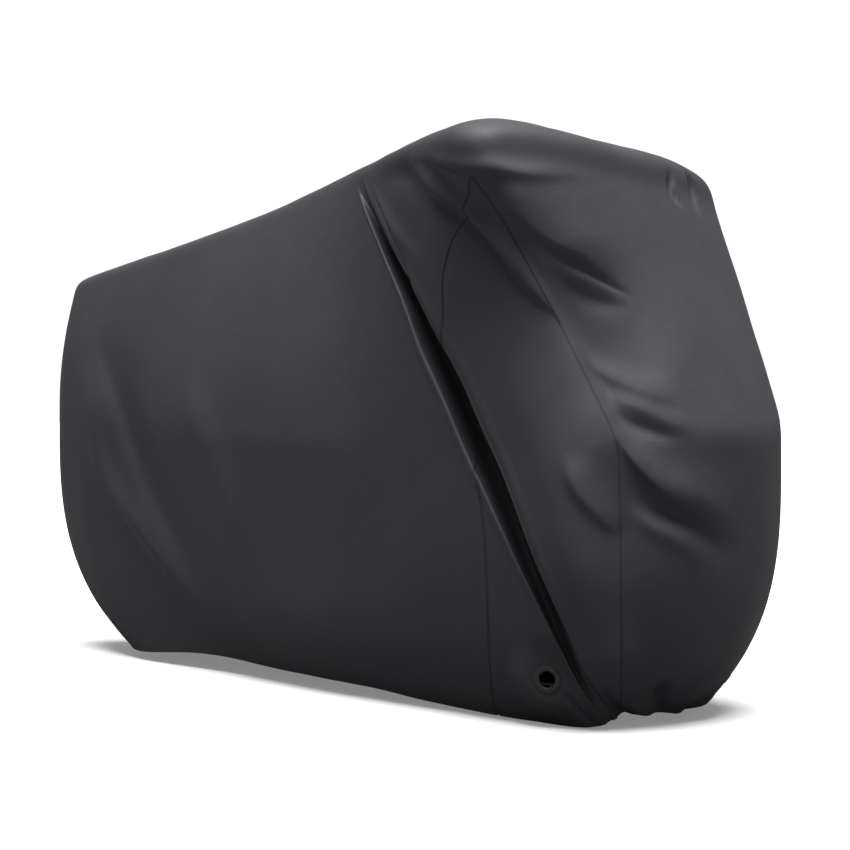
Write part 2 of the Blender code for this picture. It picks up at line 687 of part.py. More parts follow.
def eyelet_object(name, form, far, finish, collection):
    """The ring, turned from its half section, clamped over both faces of the cloth."""
    centre, axis = form.eyelets[int(far)]
    profile = eyelet_profile()
    mesh = bpy.data.meshes.new(name)
    rim = [(i, (i + 1) % len(profile)) for i in range(len(profile))]
    mesh.from_pydata([(radius, 0.0, z) for radius, z in profile], rim, [])
    mesh.materials.append(finish)
    obj = bpy.data.objects.new(name, mesh)
    obj.matrix_world = facing(centre, axis)
    collection.objects.link(obj)
    turn = obj.modifiers.new("turned", "SCREW")
    turn.steps = EYELET_SIDES
    turn.render_steps = EYELET_SIDES
    turn.use_merge_vertices = True
    turn.merge_threshold = 0.00005
    return obj


def main():
    clear_scene()
    parts = new_collection("bicycle_cover")
    helpers = new_collection("cutters", helper=True)
    cloth = material("coated_cloth", (0.034, 0.034, 0.038), 0.55)
    ring = material("eyelet_plastic", (0.012, 0.012, 0.013), 0.35)
    form = Form()
    cloth_object("cover_body", form, main_outline(form), cloth, parts)
    for side, far in (("right", False), ("left", True)):
        gore = cloth_object(f"gore_{side}", form, gore_outline(form, far), cloth, parts)
        hole = gore.modifiers.new("eyelet_hole", "BOOLEAN")
        hole.operation = "DIFFERENCE"
        hole.solver = "EXACT"
        hole.object = eyelet_hole(f"eyelet_hole_{side}", form, far, helpers)
        eyelet_object(f"eyelet_{side}", form, far, ring, parts)


main()
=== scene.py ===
"""The looks of a bicycle cover of coated polyester, hanging in its folds.

The cloth is one draped surface, read by a share (0 the middle of the rear, 1 the middle of the
front, 2 the rear again by the far side) and a height (0 the hem, 1 the crown). Every piece of cloth
is a fine grid of that surface: the main cloth in four pieces, and the gore in each side.
Everything is in metres, with +X to the front, -Y the side shown and +Z up.
"""

import logging
import math
from dataclasses import dataclass, field
from enum import Enum

import bpy
import numpy as np
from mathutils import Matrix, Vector, noise


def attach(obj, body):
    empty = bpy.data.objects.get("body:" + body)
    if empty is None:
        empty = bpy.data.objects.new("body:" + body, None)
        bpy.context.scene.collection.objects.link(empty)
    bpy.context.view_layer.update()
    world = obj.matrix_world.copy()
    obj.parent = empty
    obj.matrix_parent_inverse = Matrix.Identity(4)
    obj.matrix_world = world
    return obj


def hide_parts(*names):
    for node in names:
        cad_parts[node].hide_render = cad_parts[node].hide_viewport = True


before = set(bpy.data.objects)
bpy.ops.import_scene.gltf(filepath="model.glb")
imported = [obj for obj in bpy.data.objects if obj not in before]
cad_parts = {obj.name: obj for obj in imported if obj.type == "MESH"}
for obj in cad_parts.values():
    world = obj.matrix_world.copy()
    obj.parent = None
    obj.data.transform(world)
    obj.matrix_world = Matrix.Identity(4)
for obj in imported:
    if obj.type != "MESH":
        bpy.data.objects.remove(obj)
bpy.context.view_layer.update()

log = logging.getLogger("bicycle_cover")

BODY = "root"
CLOTH_SLOT = "coated_cloth"
EYELET_SLOT = "eyelet"
FLAT_LAYER = "flat_cut"
SHADER = "Principled BSDF"
WHITE = (1.0, 1.0, 1.0, 1.0)
WELD_DIGITS = 6


# ---- small helpers ------------------------------------------------------------------------------
def smooth_step(value: np.ndarray, low: float, high: float) -> np.ndarray:
    """A smooth ramp from 0 at low to 1 at high."""
    t = np.clip((value - low) / (high - low), 0.0, 1.0)
    return t * t * (3 - 2 * t)


def hermite(keys: np.ndarray, values: np.ndarray, at: np.ndarray, flat_ends: bool) -> np.ndarray:
    """A smooth curve through keys and values.

    Args:
        keys: Where the values stand, rising.
        values: The values there.
        at: Where the curve is read.
        flat_ends: Whether the curve is level at its two ends.

    Returns:
        The curve's value at each place in at.
    """
    step = np.diff(keys)
    slope = np.diff(values) / step
    tangent = np.zeros_like(values)
    tangent[1:-1] = (slope[:-1] * step[1:] + slope[1:] * step[:-1]) / (step[:-1] + step[1:])
    if not flat_ends:
        tangent[0], tangent[-1] = slope[0], slope[-1]
    cell = np.clip(np.searchsorted(keys, at, side="right") - 1, 0, len(step) - 1)
    t = (at - keys[cell]) / step[cell]
    start = (2 * t**3 - 3 * t**2 + 1) * values[cell]
    start += (t**3 - 2 * t**2 + t) * step[cell] * tangent[cell]
    end = (3 * t**2 - 2 * t**3) * values[cell + 1] + (t**3 - t**2) * step[cell] * tangent[cell + 1]
    return start + end


def unit(vectors: np.ndarray) -> np.ndarray:
    """The same directions at length one."""
    return vectors / np.maximum(np.linalg.norm(vectors, axis=-1, keepdims=True), 1e-12)


def spaced(knots: list[tuple[float, float]]) -> np.ndarray:
    """Places whose steps change along the way.

    Args:
        knots: Pairs of a place and the step wanted from there to the next one.

    Returns:
        The places, from the first knot's to the last knot's.
    """
    places = []
    for (start, step), (end, _) in zip(knots, knots[1:]):
        count = max(1, round((end - start) / step))
        places += [start + (end - start) * i / count for i in range(count)]
    return np.array(places + [knots[-1][0]])


def widened(places: np.ndarray) -> np.ndarray:
    """The places with one more before the first and one more after the last."""
    return np.concatenate([[2 * places[0] - places[1]], places, [2 * places[-1] - places[-2]]])


def in_scene(name: str, data: bpy.types.ID) -> bpy.types.Object:
    """A new object in the scene that shows a mesh, a light or a camera."""
    piece = bpy.data.objects.new(name, data)
    bpy.context.scene.collection.objects.link(piece)
    return piece


def new_piece(name: str, vertices: list, faces: list) -> bpy.types.Object:
    """A new smooth mesh object in the scene."""
    mesh = bpy.data.meshes.new(name)
    mesh.from_pydata(vertices, [], faces)
    mesh.shade_smooth()
    return in_scene(name, mesh)


# ---- the draped form ----------------------------------------------------------------------------
@dataclass(frozen=True)
class Station:
    """One rib of the form: from the hem out to the belly, up to the brow and in to the crown."""

    share: float
    crown: tuple[float, float]
    brow: tuple[float, float, float]
    belly: tuple[float, float, float]
    hem: tuple[float, float, float]
    stretch: float
    square: float

    def row(self) -> list[float]:
        """The rib's numbers in one row, its crown in the middle plane."""
        crown = (self.crown[0], 0.0, self.crown[1])
        return [self.share, *crown, *self.brow, *self.belly, *self.hem, self.stretch, self.square]


# Where a rib's row holds its points, its y values, and what a far rib may have shifted.
POINT_COLUMNS = (1, 4, 7, 10)
Y_COLUMNS = (2, 5, 8, 11)
SHIFTED_COLUMNS = slice(6, 13)


STATIONS = (
    Station(0.00, (-0.935, 0.874), (-0.961, 0.0, 0.845), (-0.979, 0.0, 0.557),
            (-0.666, 0.0, 0.032), 2.0, 2.0),
    Station(0.05, (-0.917, 0.885), (-0.925, -0.036, 0.853), (-0.944, -0.070, 0.595),
            (-0.611, -0.105, 0.033), 2.0, 2.0),
    Station(0.12, (-0.788, 0.907), (-0.794, -0.050, 0.876), (-0.810, -0.125, 0.554),
            (-0.560, -0.135, 0.030), 1.8, 2.0),
    Station(0.25, (-0.500, 0.954), (-0.500, -0.055, 0.934), (-0.520, -0.165, 0.520),
            (-0.330, -0.150, 0.046), 1.6, 2.0),
    Station(0.38, (-0.220, 1.009), (-0.220, -0.055, 0.987), (-0.220, -0.205, 0.500),
            (-0.080, -0.160, 0.042), 1.5, 2.0),
    Station(0.50, (0.040, 1.068), (0.040, -0.079, 1.047), (0.080, -0.240, 0.500),
            (0.195, -0.190, 0.038), 1.3, 2.2),
    Station(0.60, (0.280, 1.080), (0.287, -0.205, 1.054), (0.360, -0.270, 0.500),
            (0.437, -0.208, 0.021), 1.2, 3.0),
    Station(0.70, (0.470, 1.088), (0.501, -0.324, 1.025), (0.600, -0.295, 0.500),
            (0.640, -0.215, 0.015), 1.1, 3.4),
    Station(0.78, (0.562, 1.094), (0.596, -0.362, 1.001), (0.760, -0.280, 0.510),
            (0.776, -0.200, 0.016), 1.1, 3.5),
    Station(0.85, (0.600, 1.083), (0.660, -0.330, 1.014), (0.870, -0.230, 0.520),
            (0.808, -0.143, 0.034), 1.05, 3.0),
    Station(0.92, (0.620, 1.077), (0.695, -0.200, 1.009), (0.930, -0.130, 0.530),
            (0.825, -0.070, 0.031), 1.05, 2.6),
    Station(1.00, (0.632, 1.073), (0.704, 0.0, 1.009), (0.950, 0.0, 0.530), (0.830, 0.0, 0.031), 1.05, 2.4),
)

# Where a rib of the far side stands off from its twin: brow z, then belly and hem x, y and z.
FAR_SHIFTS = {
    0.25: (0.000, 0.000, 0.000, 0.000, 0.000, 0.000, -0.006),
    0.38: (0.000, 0.000, 0.000, 0.000, 0.000, 0.000, -0.020),
    0.50: (0.000, 0.000, 0.000, 0.000, 0.000, 0.000, -0.0255),
    0.60: (0.000, 0.000, 0.000, 0.000, -0.030, 0.030, -0.006),
    0.70: (0.002, 0.000, 0.000, 0.000, -0.036, 0.035, 0.000),
    0.78: (0.010, 0.014, -0.004, 0.036, -0.036, 0.035, 0.000),
    0.85: (0.000, 0.012, -0.004, 0.030, -0.016, 0.016, 0.000),
}


@dataclass(frozen=True)
class SeamLevel:
    """Where the two seams of a side lie at one height."""

    height: float
    rear: float
    front: float


SEAMS = (
    SeamLevel(0.000, 0.663, 0.838),
    SeamLevel(0.100, 0.692, 0.845),
    SeamLevel(0.200, 0.703, 0.846),
    SeamLevel(0.290, 0.700, 0.845),
    SeamLevel(0.410, 0.680, 0.840),
    SeamLevel(0.527, 0.674, 0.829),
    SeamLevel(0.605, 0.686, 0.813),
    SeamLevel(0.640, 0.712, 0.805),
    SeamLevel(0.665, 0.752, 0.799),
    SeamLevel(0.691, 0.793, 0.793),
)
APEX = SEAMS[-1]


class Profile(Enum):
    """How a fold's height falls off beside its line."""

    ROUND = 2.0
    CRISP = 1.25


@dataclass(frozen=True)
class Fold:
    """A ridge or a trough along a curve of shares and heights.

    widths and rises are its values at even distances along the curve. A rise is outward (+) or
    inward (-). spread is the width on the left of the way along, as a multiple of the width on the
    right: a fold that runs to the front has its left above it.
    """

    name: str
    line: tuple[tuple[float, float], ...]
    widths: tuple[float, ...]
    rises: tuple[float, ...]
    spread: float = 1.0
    profile: Profile = Profile.ROUND


FOLDS = (
    Fold("third_groove", ((0.545, 0.864), (0.598, 0.725), (0.625, 0.651), (0.644, 0.581), (0.674, 0.499)),
         (0.0035, 0.0030), (0.0, -0.003, -0.004, -0.004, 0.0), profile=Profile.CRISP),
    Fold("shoulder_band", ((0.551, 0.850), (0.609, 0.705), (0.645, 0.633), (0.667, 0.567)),
         (0.012, 0.020), (0.0, 0.006, 0.005, 0.0)),
    Fold("shoulder_dip", ((0.570, 0.830), (0.642, 0.752), (0.683, 0.644)),
         (0.020, 0.024), (0.0, -0.009, 0.0)),
    Fold("crown_ledge", ((0.658, 0.768), (0.731, 0.715), (0.822, 0.704), (0.872, 0.730), (0.917, 0.788),
          (0.970, 0.868)),
         (0.009, 0.011, 0.013, 0.014), (0.001, 0.008, 0.010, 0.009, 0.006, 0.002, 0.0), 1.7),
    Fold("hollow", ((0.655, 0.765), (0.722, 0.685), (0.763, 0.630), (0.808, 0.560), (0.850, 0.490),
          (0.890, 0.420)),
         (0.040, 0.056, 0.090, 0.150, 0.190, 0.180),
         (0.0, -0.008, -0.022, -0.038, -0.050, -0.048, -0.026, 0.0), 0.85),
    Fold("front_hollow", ((0.888, 0.660), (0.882, 0.550), (0.870, 0.420), (0.858, 0.300), (0.850, 0.170)),
         (0.070, 0.060), (0.0, -0.026, -0.036, -0.030, -0.016, 0.0), 1.5),
    Fold("valley", ((0.655, 0.757), (0.691, 0.700), (0.734, 0.651), (0.764, 0.609), (0.801, 0.551),
          (0.849, 0.513)),
         (0.009, 0.011, 0.013, 0.011), (0.003, 0.015, 0.013, 0.018, 0.012, 0.0), 3.0),
    Fold("valley_floor", ((0.664, 0.730), (0.699, 0.672), (0.734, 0.630), (0.768, 0.583), (0.815, 0.518)),
         (0.013, 0.014), (0.0, -0.007, -0.008, -0.006, 0.0)),
    Fold("gore_swell", ((0.720, 0.530), (0.752, 0.420), (0.782, 0.310), (0.802, 0.200), (0.815, 0.100)),
         (0.090, 0.080, 0.060), (0.0, 0.013, 0.024, 0.035, 0.018)),
    Fold("side_swell", ((0.330, 0.130), (0.450, 0.095), (0.560, 0.100), (0.650, 0.130)),
         (0.120, 0.130), (0.0, 0.014, 0.018, 0.010, 0.0)),
    Fold("pleat_a", ((0.805, 0.668), (0.845, 0.657), (0.881, 0.649), (0.909, 0.661), (0.929, 0.659),
          (0.952, 0.648)),
         (0.014, 0.014), (0.0, 0.011, 0.011, 0.007, 0.0), 4.5),
    Fold("pleat_groove", ((0.850, 0.638), (0.885, 0.632), (0.912, 0.640), (0.944, 0.636)),
         (0.007, 0.006), (0.0, -0.002, -0.004, -0.004, 0.0)),
    Fold("pleat_b", ((0.866, 0.624), (0.888, 0.621), (0.910, 0.627), (0.942, 0.629)),
         (0.010, 0.010), (0.0, 0.001, 0.002, 0.001, 0.0), 1.6),
    Fold("pleat_foot", ((0.862, 0.603), (0.883, 0.599), (0.904, 0.603), (0.935, 0.609)),
         (0.024, 0.020), (0.0, -0.004, -0.005, 0.0), 0.5),
    Fold("elbow_ridge", ((0.846, 0.497), (0.862, 0.475), (0.885, 0.468), (0.915, 0.466), (0.950, 0.470)),
         (0.014, 0.020), (0.0, 0.004, 0.004, 0.003, 0.0), 1.8),
    Fold("elbow_rib", ((0.858, 0.430), (0.888, 0.428), (0.916, 0.422), (0.943, 0.424)),
         (0.014, 0.016), (0.0, 0.005, 0.004, 0.0), 1.8),
    Fold("elbow_foot", ((0.850, 0.402), (0.870, 0.398), (0.890, 0.398), (0.922, 0.396)),
         (0.020, 0.018), (0.0, -0.004, -0.004, 0.0), 0.6),
    Fold("front_ridge", ((0.838, 0.376), (0.858, 0.345), (0.885, 0.322), (0.930, 0.312), (0.995, 0.285)),
         (0.009, 0.013, 0.024), (0.0, 0.013, 0.014, 0.010, 0.0), 4.0),
    Fold("front_valley", ((0.846, 0.335), (0.875, 0.298), (0.935, 0.294), (1.010, 0.262)),
         (0.022, 0.028), (0.0, -0.012, -0.010, 0.0)),
    Fold("front_rib", ((0.850, 0.276), (0.889, 0.265), (0.921, 0.255), (0.950, 0.235)),
         (0.016, 0.020), (0.0, 0.006, 0.005, 0.0), 1.3),
    Fold("gore_foot_tuck", ((0.795, 0.350), (0.801, 0.313), (0.814, 0.285), (0.828, 0.265), (0.850, 0.242)),
         (0.014, 0.013, 0.010), (0.0, 0.008, 0.010, 0.008, 0.0), 2.6),
    Fold("foot_hollow", ((0.852, 0.350), (0.854, 0.240), (0.857, 0.130), (0.860, 0.040)),
         (0.045, 0.040), (0.0, -0.009, -0.010, 0.0)),
    Fold("eyelet_fold", ((0.758, 0.066), (0.764, 0.048), (0.771, 0.028), (0.785, 0.004)),
         (0.007, 0.007), (0.0, -0.005, -0.007, -0.004)),
    Fold("hem_fold", ((0.812, 0.066), (0.820, 0.034), (0.834, 0.012), (0.850, 0.0)),
         (0.008, 0.009), (0.0, -0.009, -0.012, -0.009)),
    Fold("hem_pucker", ((0.846, 0.026), (0.866, 0.012), (0.896, 0.0)),
         (0.008, 0.009), (0.0, 0.008, 0.007), 2.0),
    Fold("hem_dimple", ((0.903, 0.066), (0.909, 0.040), (0.914, 0.012)),
         (0.017, 0.017), (0.0, -0.013, -0.010)),
    Fold("hem_star", ((0.972, 0.0), (0.990, 0.032), (1.030, 0.052), (1.095, 0.060)),
         (0.012, 0.012), (0.007, 0.014, 0.011, 0.0), 1.8),
    Fold("far_tuck_upper", ((1.072, 0.880), (1.052, 0.850), (1.061, 0.800)),
         (0.012, 0.014), (0.0, -0.011, 0.0), 0.6),
    Fold("far_tuck_lower", ((1.100, 0.850), (1.088, 0.800), (1.085, 0.760)),
         (0.012, 0.016), (0.0, -0.011, 0.0), 0.6),
    Fold("rear_ridge", ((0.120, 0.760), (0.155, 0.631), (0.188, 0.447), (0.256, 0.281), (0.320, 0.126),
          (0.335, 0.030)),
         (0.034, 0.036), (0.0, 0.008, 0.013, 0.011, 0.005, 0.0), 1.2),
    Fold("rear_foot", ((0.138, 0.826), (0.204, 0.611), (0.256, 0.421), (0.316, 0.242), (0.329, 0.096)),
         (0.028, 0.030), (0.0, -0.010, -0.014, -0.010, 0.0), 2.4),
    Fold("rear_crease", ((0.205, 0.407), (0.256, 0.281), (0.320, 0.126)),
         (0.008, 0.008), (0.0, -0.0030, 0.0)),
    Fold("rear_second", ((0.300, 0.640), (0.360, 0.490), (0.400, 0.330), (0.410, 0.160)),
         (0.045, 0.050), (0.0, 0.008, 0.008, 0.0), 1.0),
    Fold("far_ridge", ((1.476, 0.886), (1.413, 0.665), (1.350, 0.445), (1.275, 0.220), (1.205, 0.0)),
         (0.018, 0.016), (0.0, 0.012, 0.012, 0.012, 0.012)),
    Fold("far_trough", ((1.450, 0.820), (1.380, 0.620), (1.316, 0.430), (1.252, 0.220), (1.188, 0.0)),
         (0.020, 0.018), (0.0, -0.020, -0.020, -0.020, -0.020)),
    Fold("far_valley", ((1.345, 0.760), (1.250, 0.615), (1.140, 0.480)),
         (0.024, 0.032), (0.0, -0.016, 0.0)),
    Fold("far_hollow", ((1.810, 0.700), (1.745, 0.540), (1.690, 0.390), (1.640, 0.070)),
         (0.034, 0.030), (0.0, -0.010, -0.013, -0.008, 0.0)),
    Fold("far_rear_ridge", ((1.860, 0.720), (1.815, 0.540), (1.760, 0.360), (1.700, 0.150)),
         (0.030, 0.034), (0.0, 0.008, 0.010, 0.007, 0.0)),
    Fold("far_rear_second", ((1.700, 0.650), (1.630, 0.480), (1.585, 0.300), (1.570, 0.140)),
         (0.045, 0.050), (0.0, 0.008, 0.008, 0.0)),
    Fold("far_swell", ((1.545, 0.700), (1.480, 0.500), (1.420, 0.300), (1.390, 0.130)),
         (0.050, 0.060), (0.0, 0.007, 0.008, 0.0)),
    Fold("far_shoulder", ((1.450, 0.800), (1.385, 0.690), (1.340, 0.600)),
         (0.018, 0.024), (0.0, -0.008, 0.0)),
    Fold("far_brow_tuck", ((1.345, 0.768), (1.285, 0.708), (1.200, 0.690)),
         (0.016, 0.018), (0.0, -0.010, -0.006, 0.0)),
    Fold("far_valley_lip", ((1.325, 0.700), (1.270, 0.600), (1.185, 0.510)),
         (0.014, 0.018), (0.0, 0.008, 0.006, 0.0)),
    Fold("far_pleat", ((1.245, 0.650), (1.215, 0.632), (1.180, 0.618)), (0.014, 0.014), (0.0, -0.008, 0.0)),
    Fold("far_gore_fold", ((1.270, 0.480), (1.215, 0.330), (1.175, 0.220)),
         (0.026, 0.024), (0.0, 0.009, 0.0)),
    Fold("far_foot_tuck", ((1.220, 0.340), (1.198, 0.285), (1.170, 0.250)),
         (0.013, 0.012), (0.0, -0.009, 0.0)),
    Fold("far_hem_tuck", ((1.178, 0.075), (1.168, 0.035), (1.155, 0.0)),
         (0.011, 0.012), (0.0, -0.008, -0.007)),
    Fold("far_rear_hem", ((1.735, 0.110), (1.730, 0.050), (1.725, 0.0)),
         (0.020, 0.024), (0.0, 0.007, 0.008)),
)


@dataclass(frozen=True)
class DeepFold:
    """The long fold of the side shown: a thin crest, and a deep trough under the lip beside it.

    reaches and depths are its values at even distances along the crest's line. section gives, for
    parts of the way from the crest (0) to the lip (1), how far the cloth goes in and back under
    the lip, as parts of the depth.
    """

    line: tuple[tuple[float, float], ...] = (
        (0.524, 0.884), (0.558, 0.780), (0.590, 0.681), (0.616, 0.601), (0.638, 0.517), (0.662, 0.439),
        (0.682, 0.367), (0.708, 0.299), (0.733, 0.232), (0.756, 0.170), (0.772, 0.120), (0.784, 0.068),
        (0.806, 0.000),
    )
    reaches: tuple[float, ...] = (0.022, 0.028, 0.040, 0.050, 0.068, 0.074, 0.074, 0.068, 0.053, 0.032, 0.016)
    depths: tuple[float, ...] = (0.0, 0.014, 0.030, 0.046, 0.060, 0.064, 0.066, 0.062, 0.048, 0.024, 0.003)
    section: tuple[tuple[float, float, float], ...] = (
        (-0.30, 0.00, 0.00), (-0.02, 0.00, 0.00), (0.02, 0.05, 0.03), (0.08, 0.38, 0.22), (0.16, 0.76, 0.42),
        (0.28, 1.00, 0.52), (0.60, 1.00, 0.35), (0.88, 1.00, 0.12), (0.97, 0.60, 0.26), (1.02, 0.10, 0.32),
        (1.12, -0.03, 0.28), (1.35, -0.02, 0.12), (1.70, 0.00, 0.00),
    )
    crest_height: float = 0.0006
    crest_width: float = 0.0055
    crest_fade: float = 0.08


@dataclass(frozen=True)
class CreaseLine:
    """A fold's line on the smooth form, as points close together."""

    points: np.ndarray

    def near(self, base: np.ndarray, reach: float) -> np.ndarray:
        """Which points lie in the line's box, widened by a reach."""
        low, high = self.points.min(axis=0) - reach, self.points.max(axis=0) + reach
        return np.all((base > low) & (base < high), axis=1)

    def beside(self, point: np.ndarray, out: np.ndarray) -> tuple[np.ndarray, ...]:
        """Where points lie beside the line.

        Args:
            point: Points of the smooth form.
            out: Outward normals there.

        Returns:
            How far along the line each is (0 to 1), its distance, its distance to the left, and
            the direction to the left.
        """
        start, run = self.points[:-1], np.diff(self.points, axis=0)
        t = np.einsum("nkj,kj->nk", point[:, None] - start[None], run) / (run**2).sum(axis=1)
        t = np.clip(t, 0, 1)
        offset = point[:, None] - (start[None] + t[..., None] * run[None])
        gap = np.linalg.norm(offset, axis=2)
        best = gap.argmin(axis=1)
        rows = np.arange(len(point))
        along = (best + t[rows, best]) / len(run)
        left = -unit(np.cross(run[best], out))
        return along, gap[rows, best], (offset[rows, best] * left).sum(axis=1), left


@dataclass(frozen=True)
class EyeletPlace:
    """Where an eyelet's centre lies on the cloth's outer face, and the way it faces."""

    centre: np.ndarray
    axis: np.ndarray

    def across(self) -> tuple[np.ndarray, np.ndarray]:
        """The level and the upright direction in the eyelet's plane."""
        level = unit(np.cross((0.0, 0.0, 1.0), self.axis))
        return level, np.cross(self.axis, level)


@dataclass
class DrapedForm:
    """The surface that every piece of cloth is read from.

    middle is taken off every point, so that the form stands over the origin. The crown leans by
    lean_slope and lean_curve where x and z lie in or past lean_x and lean_z.
    """

    middle: tuple[float, float, float] = (-0.0145, -0.0019, 0.0133)
    columns: int = 160
    rows: int = 121
    rib_points: int = 260
    rounding_passes: int = 5
    tuck_power: float = 3.8
    lean_slope: float = 0.065
    lean_curve: float = 0.067
    lean_x: tuple[float, float] = (0.0, 0.55)
    lean_z: tuple[float, float] = (0.5, 1.0)
    fold_steps: int = 72
    fold_reach: float = 3.2
    share_step: float = 0.002
    height_step: float = 0.003
    girth: float = 2.2
    rise: float = 1.15
    eyelet_share: float = 0.749
    eyelet_height: float = 0.068
    eyelet_facing: tuple[float, float, float] = (0.34, -0.93, -0.14)
    eyelet_flat: float = 0.033
    eyelet_blend: float = 0.090
    eyelet_folds: float = 0.048
    ripple: float = 0.0016
    ripple_size: tuple[float, float, float] = (0.15, 0.15, 0.34)
    ripple_finer: float = 2.3
    ripple_fine_part: float = 0.4
    lattice: np.ndarray = field(init=False)
    creases: list = field(init=False)
    deep: DeepFold = field(init=False)
    deep_line: CreaseLine = field(init=False)
    eyelets: list = field(init=False)

    def __post_init__(self) -> None:
        """Works out the smooth form, the folds' lines and the eyelets' places."""
        self.lattice = self.form_lattice()
        self.creases = [(fold, self.crease_line(fold.line)) for fold in FOLDS]
        self.deep = DeepFold()
        self.deep_line = self.crease_line(self.deep.line)
        self.eyelets = [self.eyelet_place(False), self.eyelet_place(True)]

    def station_table(self, far: bool) -> np.ndarray:
        """The ribs' numbers, one row for each, for the side shown or the far side."""
        table = np.array([station.row() for station in STATIONS])
        if far:
            for row in table:
                shift = FAR_SHIFTS.get(round(float(row[0]), 2))
                if shift:
                    row[SHIFTED_COLUMNS] += shift
        return table

    def ribs(self, far: bool) -> np.ndarray:
        """The smooth ribs of one side, each as points at even distances from hem to crown."""
        shares = np.linspace(0, 1, self.columns + 1)
        table = self.station_table(far)
        read = [hermite(table[:, 0], column, shares, i not in Y_COLUMNS) for i, column in enumerate(table.T)]
        crown, brow, belly, hem = (np.stack(read[i : i + 3], axis=-1)[:, None] for i in POINT_COLUMNS)
        stretch, square = (column[:, None, None] for column in read[-2:])
        level, upright = np.array([1, 1, 0]), np.array([0, 0, 1])
        t = np.linspace(0, 1, self.rib_points)[None, :, None]
        lower = hem + (belly - hem) * ((1 - (1 - t) ** self.tuck_power) * level + t * upright)
        upper = belly + (brow - belly) * (t**stretch * level + t * upright)
        across = np.cos(t * np.pi / 2) ** (2 / square)
        up = np.sin(t * np.pi / 2) ** (2 / square)
        top = crown * level + brow * upright
        top = top + (brow - crown) * level * across + (crown - brow) * upright * up
        line = np.concatenate([lower[:, :-1], upper[:, :-1], top], axis=1)
        run = np.cumsum(np.linalg.norm(np.diff(line, axis=1), axis=2), axis=1)
        run = np.concatenate([np.zeros((len(shares), 1)), run], axis=1)
        points = np.empty((len(shares), self.rows, 3))
        for i in range(len(shares)):
            even = np.linspace(0, run[i, -1], self.rows)
            for axis in range(3):
                points[i, :, axis] = np.interp(even, run[i], line[i, :, axis])
        for _ in range(self.rounding_passes):
            points[:, 1:-1] = 0.25 * points[:, :-2] + 0.5 * points[:, 1:-1] + 0.25 * points[:, 2:]
        return points * np.array([1, -1 if far else 1, 1])

    def form_lattice(self) -> np.ndarray:
        """The smooth form as a closed ring of ribs, round the side shown and back along the far side."""
        ring = np.concatenate([self.ribs(False), self.ribs(True)[::-1][1:-1]], axis=0)
        x, y, z = ring[..., 0], ring[..., 1], ring[..., 2]
        turned = smooth_step(x, *self.lean_x) * smooth_step(z, *self.lean_z)
        z = z - (self.lean_slope * y + self.lean_curve * y * y) * turned
        return np.stack([x, y, z], axis=-1) - np.array(self.middle)

    def smooth(self, share: np.ndarray, height: np.ndarray) -> np.ndarray:
        """Points of the smooth form, by cubic interpolation on the ring of ribs."""
        ring, rows = self.lattice.shape[:2]
        column = np.mod(np.asarray(share, float), 2.0) * (ring / 2)
        row = np.asarray(height, float) * (rows - 1)
        over = row > rows - 1
        column = np.where(over, np.mod(ring - column, ring), column)
        row = np.where(over, 2 * (rows - 1) - row, row)
        row = np.maximum(row, 0)
        i = np.floor(column).astype(int)
        j = np.minimum(np.floor(row).astype(int), rows - 2)

        def weights(t: np.ndarray) -> tuple:
            """The four cubic weights at a place between two points."""
            return (
                -0.5 * t + t * t - 0.5 * t**3,
                1 - 2.5 * t * t + 1.5 * t**3,
                0.5 * t + 2 * t * t - 1.5 * t**3,
                -0.5 * t * t + 0.5 * t**3,
            )

        total = 0
        for p, weight_i in enumerate(weights(column - i)):
            at_i = np.mod(i + p - 1, ring)
            below_hem = 2 * self.lattice[at_i, 0] - self.lattice[at_i, 1]
            past_crown = self.lattice[np.mod(ring - at_i, ring), rows - 2]
            for q, weight_j in enumerate(weights(row - j)):
                at_j = j + q - 1
                point = self.lattice[at_i, np.clip(at_j, 0, rows - 1)]
                point = np.where((at_j < 0)[..., None], below_hem, point)
                point = np.where((at_j > rows - 1)[..., None], past_crown, point)
                total = total + (weight_i * weight_j)[..., None] * point
        return total

    def smooth_normal(self, share: np.ndarray, height: np.ndarray) -> np.ndarray:
        """Outward unit normals of the smooth form."""
        low = np.maximum(height - self.height_step, 0)
        along = self.smooth(share + self.share_step, height) - self.smooth(share - self.share_step, height)
        up = self.smooth(share, low + 2 * self.height_step) - self.smooth(share, low)
        return unit(np.cross(along, up))

    def crease_line(self, line: tuple[tuple[float, float], ...]) -> CreaseLine:
        """A smooth curve through a line's shares and heights, on the smooth form."""
        places = np.array(line)
        run = np.linalg.norm(np.diff(places * np.array([self.girth, self.rise]), axis=0), axis=1)
        keys = np.concatenate([[0], np.cumsum(run)])
        even = np.linspace(0, keys[-1], self.fold_steps)
        share, height = (hermite(keys, places[:, i], even, False) for i in (0, 1))
        return CreaseLine(self.smooth(share, height))

    def eyelet_place(self, far: bool) -> EyeletPlace:
        """The place of one side's eyelet."""
        share = 2 - self.eyelet_share if far else self.eyelet_share
        centre = self.smooth(np.array([share]), np.array([self.eyelet_height]))[0]
        axis = np.array(self.eyelet_facing) * np.array([1, -1 if far else 1, 1])
        return EyeletPlace(centre, axis / np.linalg.norm(axis))

    def flattened(self, points: np.ndarray, blend: float) -> np.ndarray:
        """The points with the cloth round each eyelet laid flat, blending out at a distance."""
        for place in self.eyelets:
            off = (points - place.centre) @ place.axis
            apart = np.linalg.norm(points - place.centre - off[:, None] * place.axis, axis=1)
            flat = 1 - smooth_step(apart, self.eyelet_flat, blend)
            flat = np.where(np.abs(off) < blend, flat, 0)
            points = points - (off * flat)[:, None] * place.axis
        return points

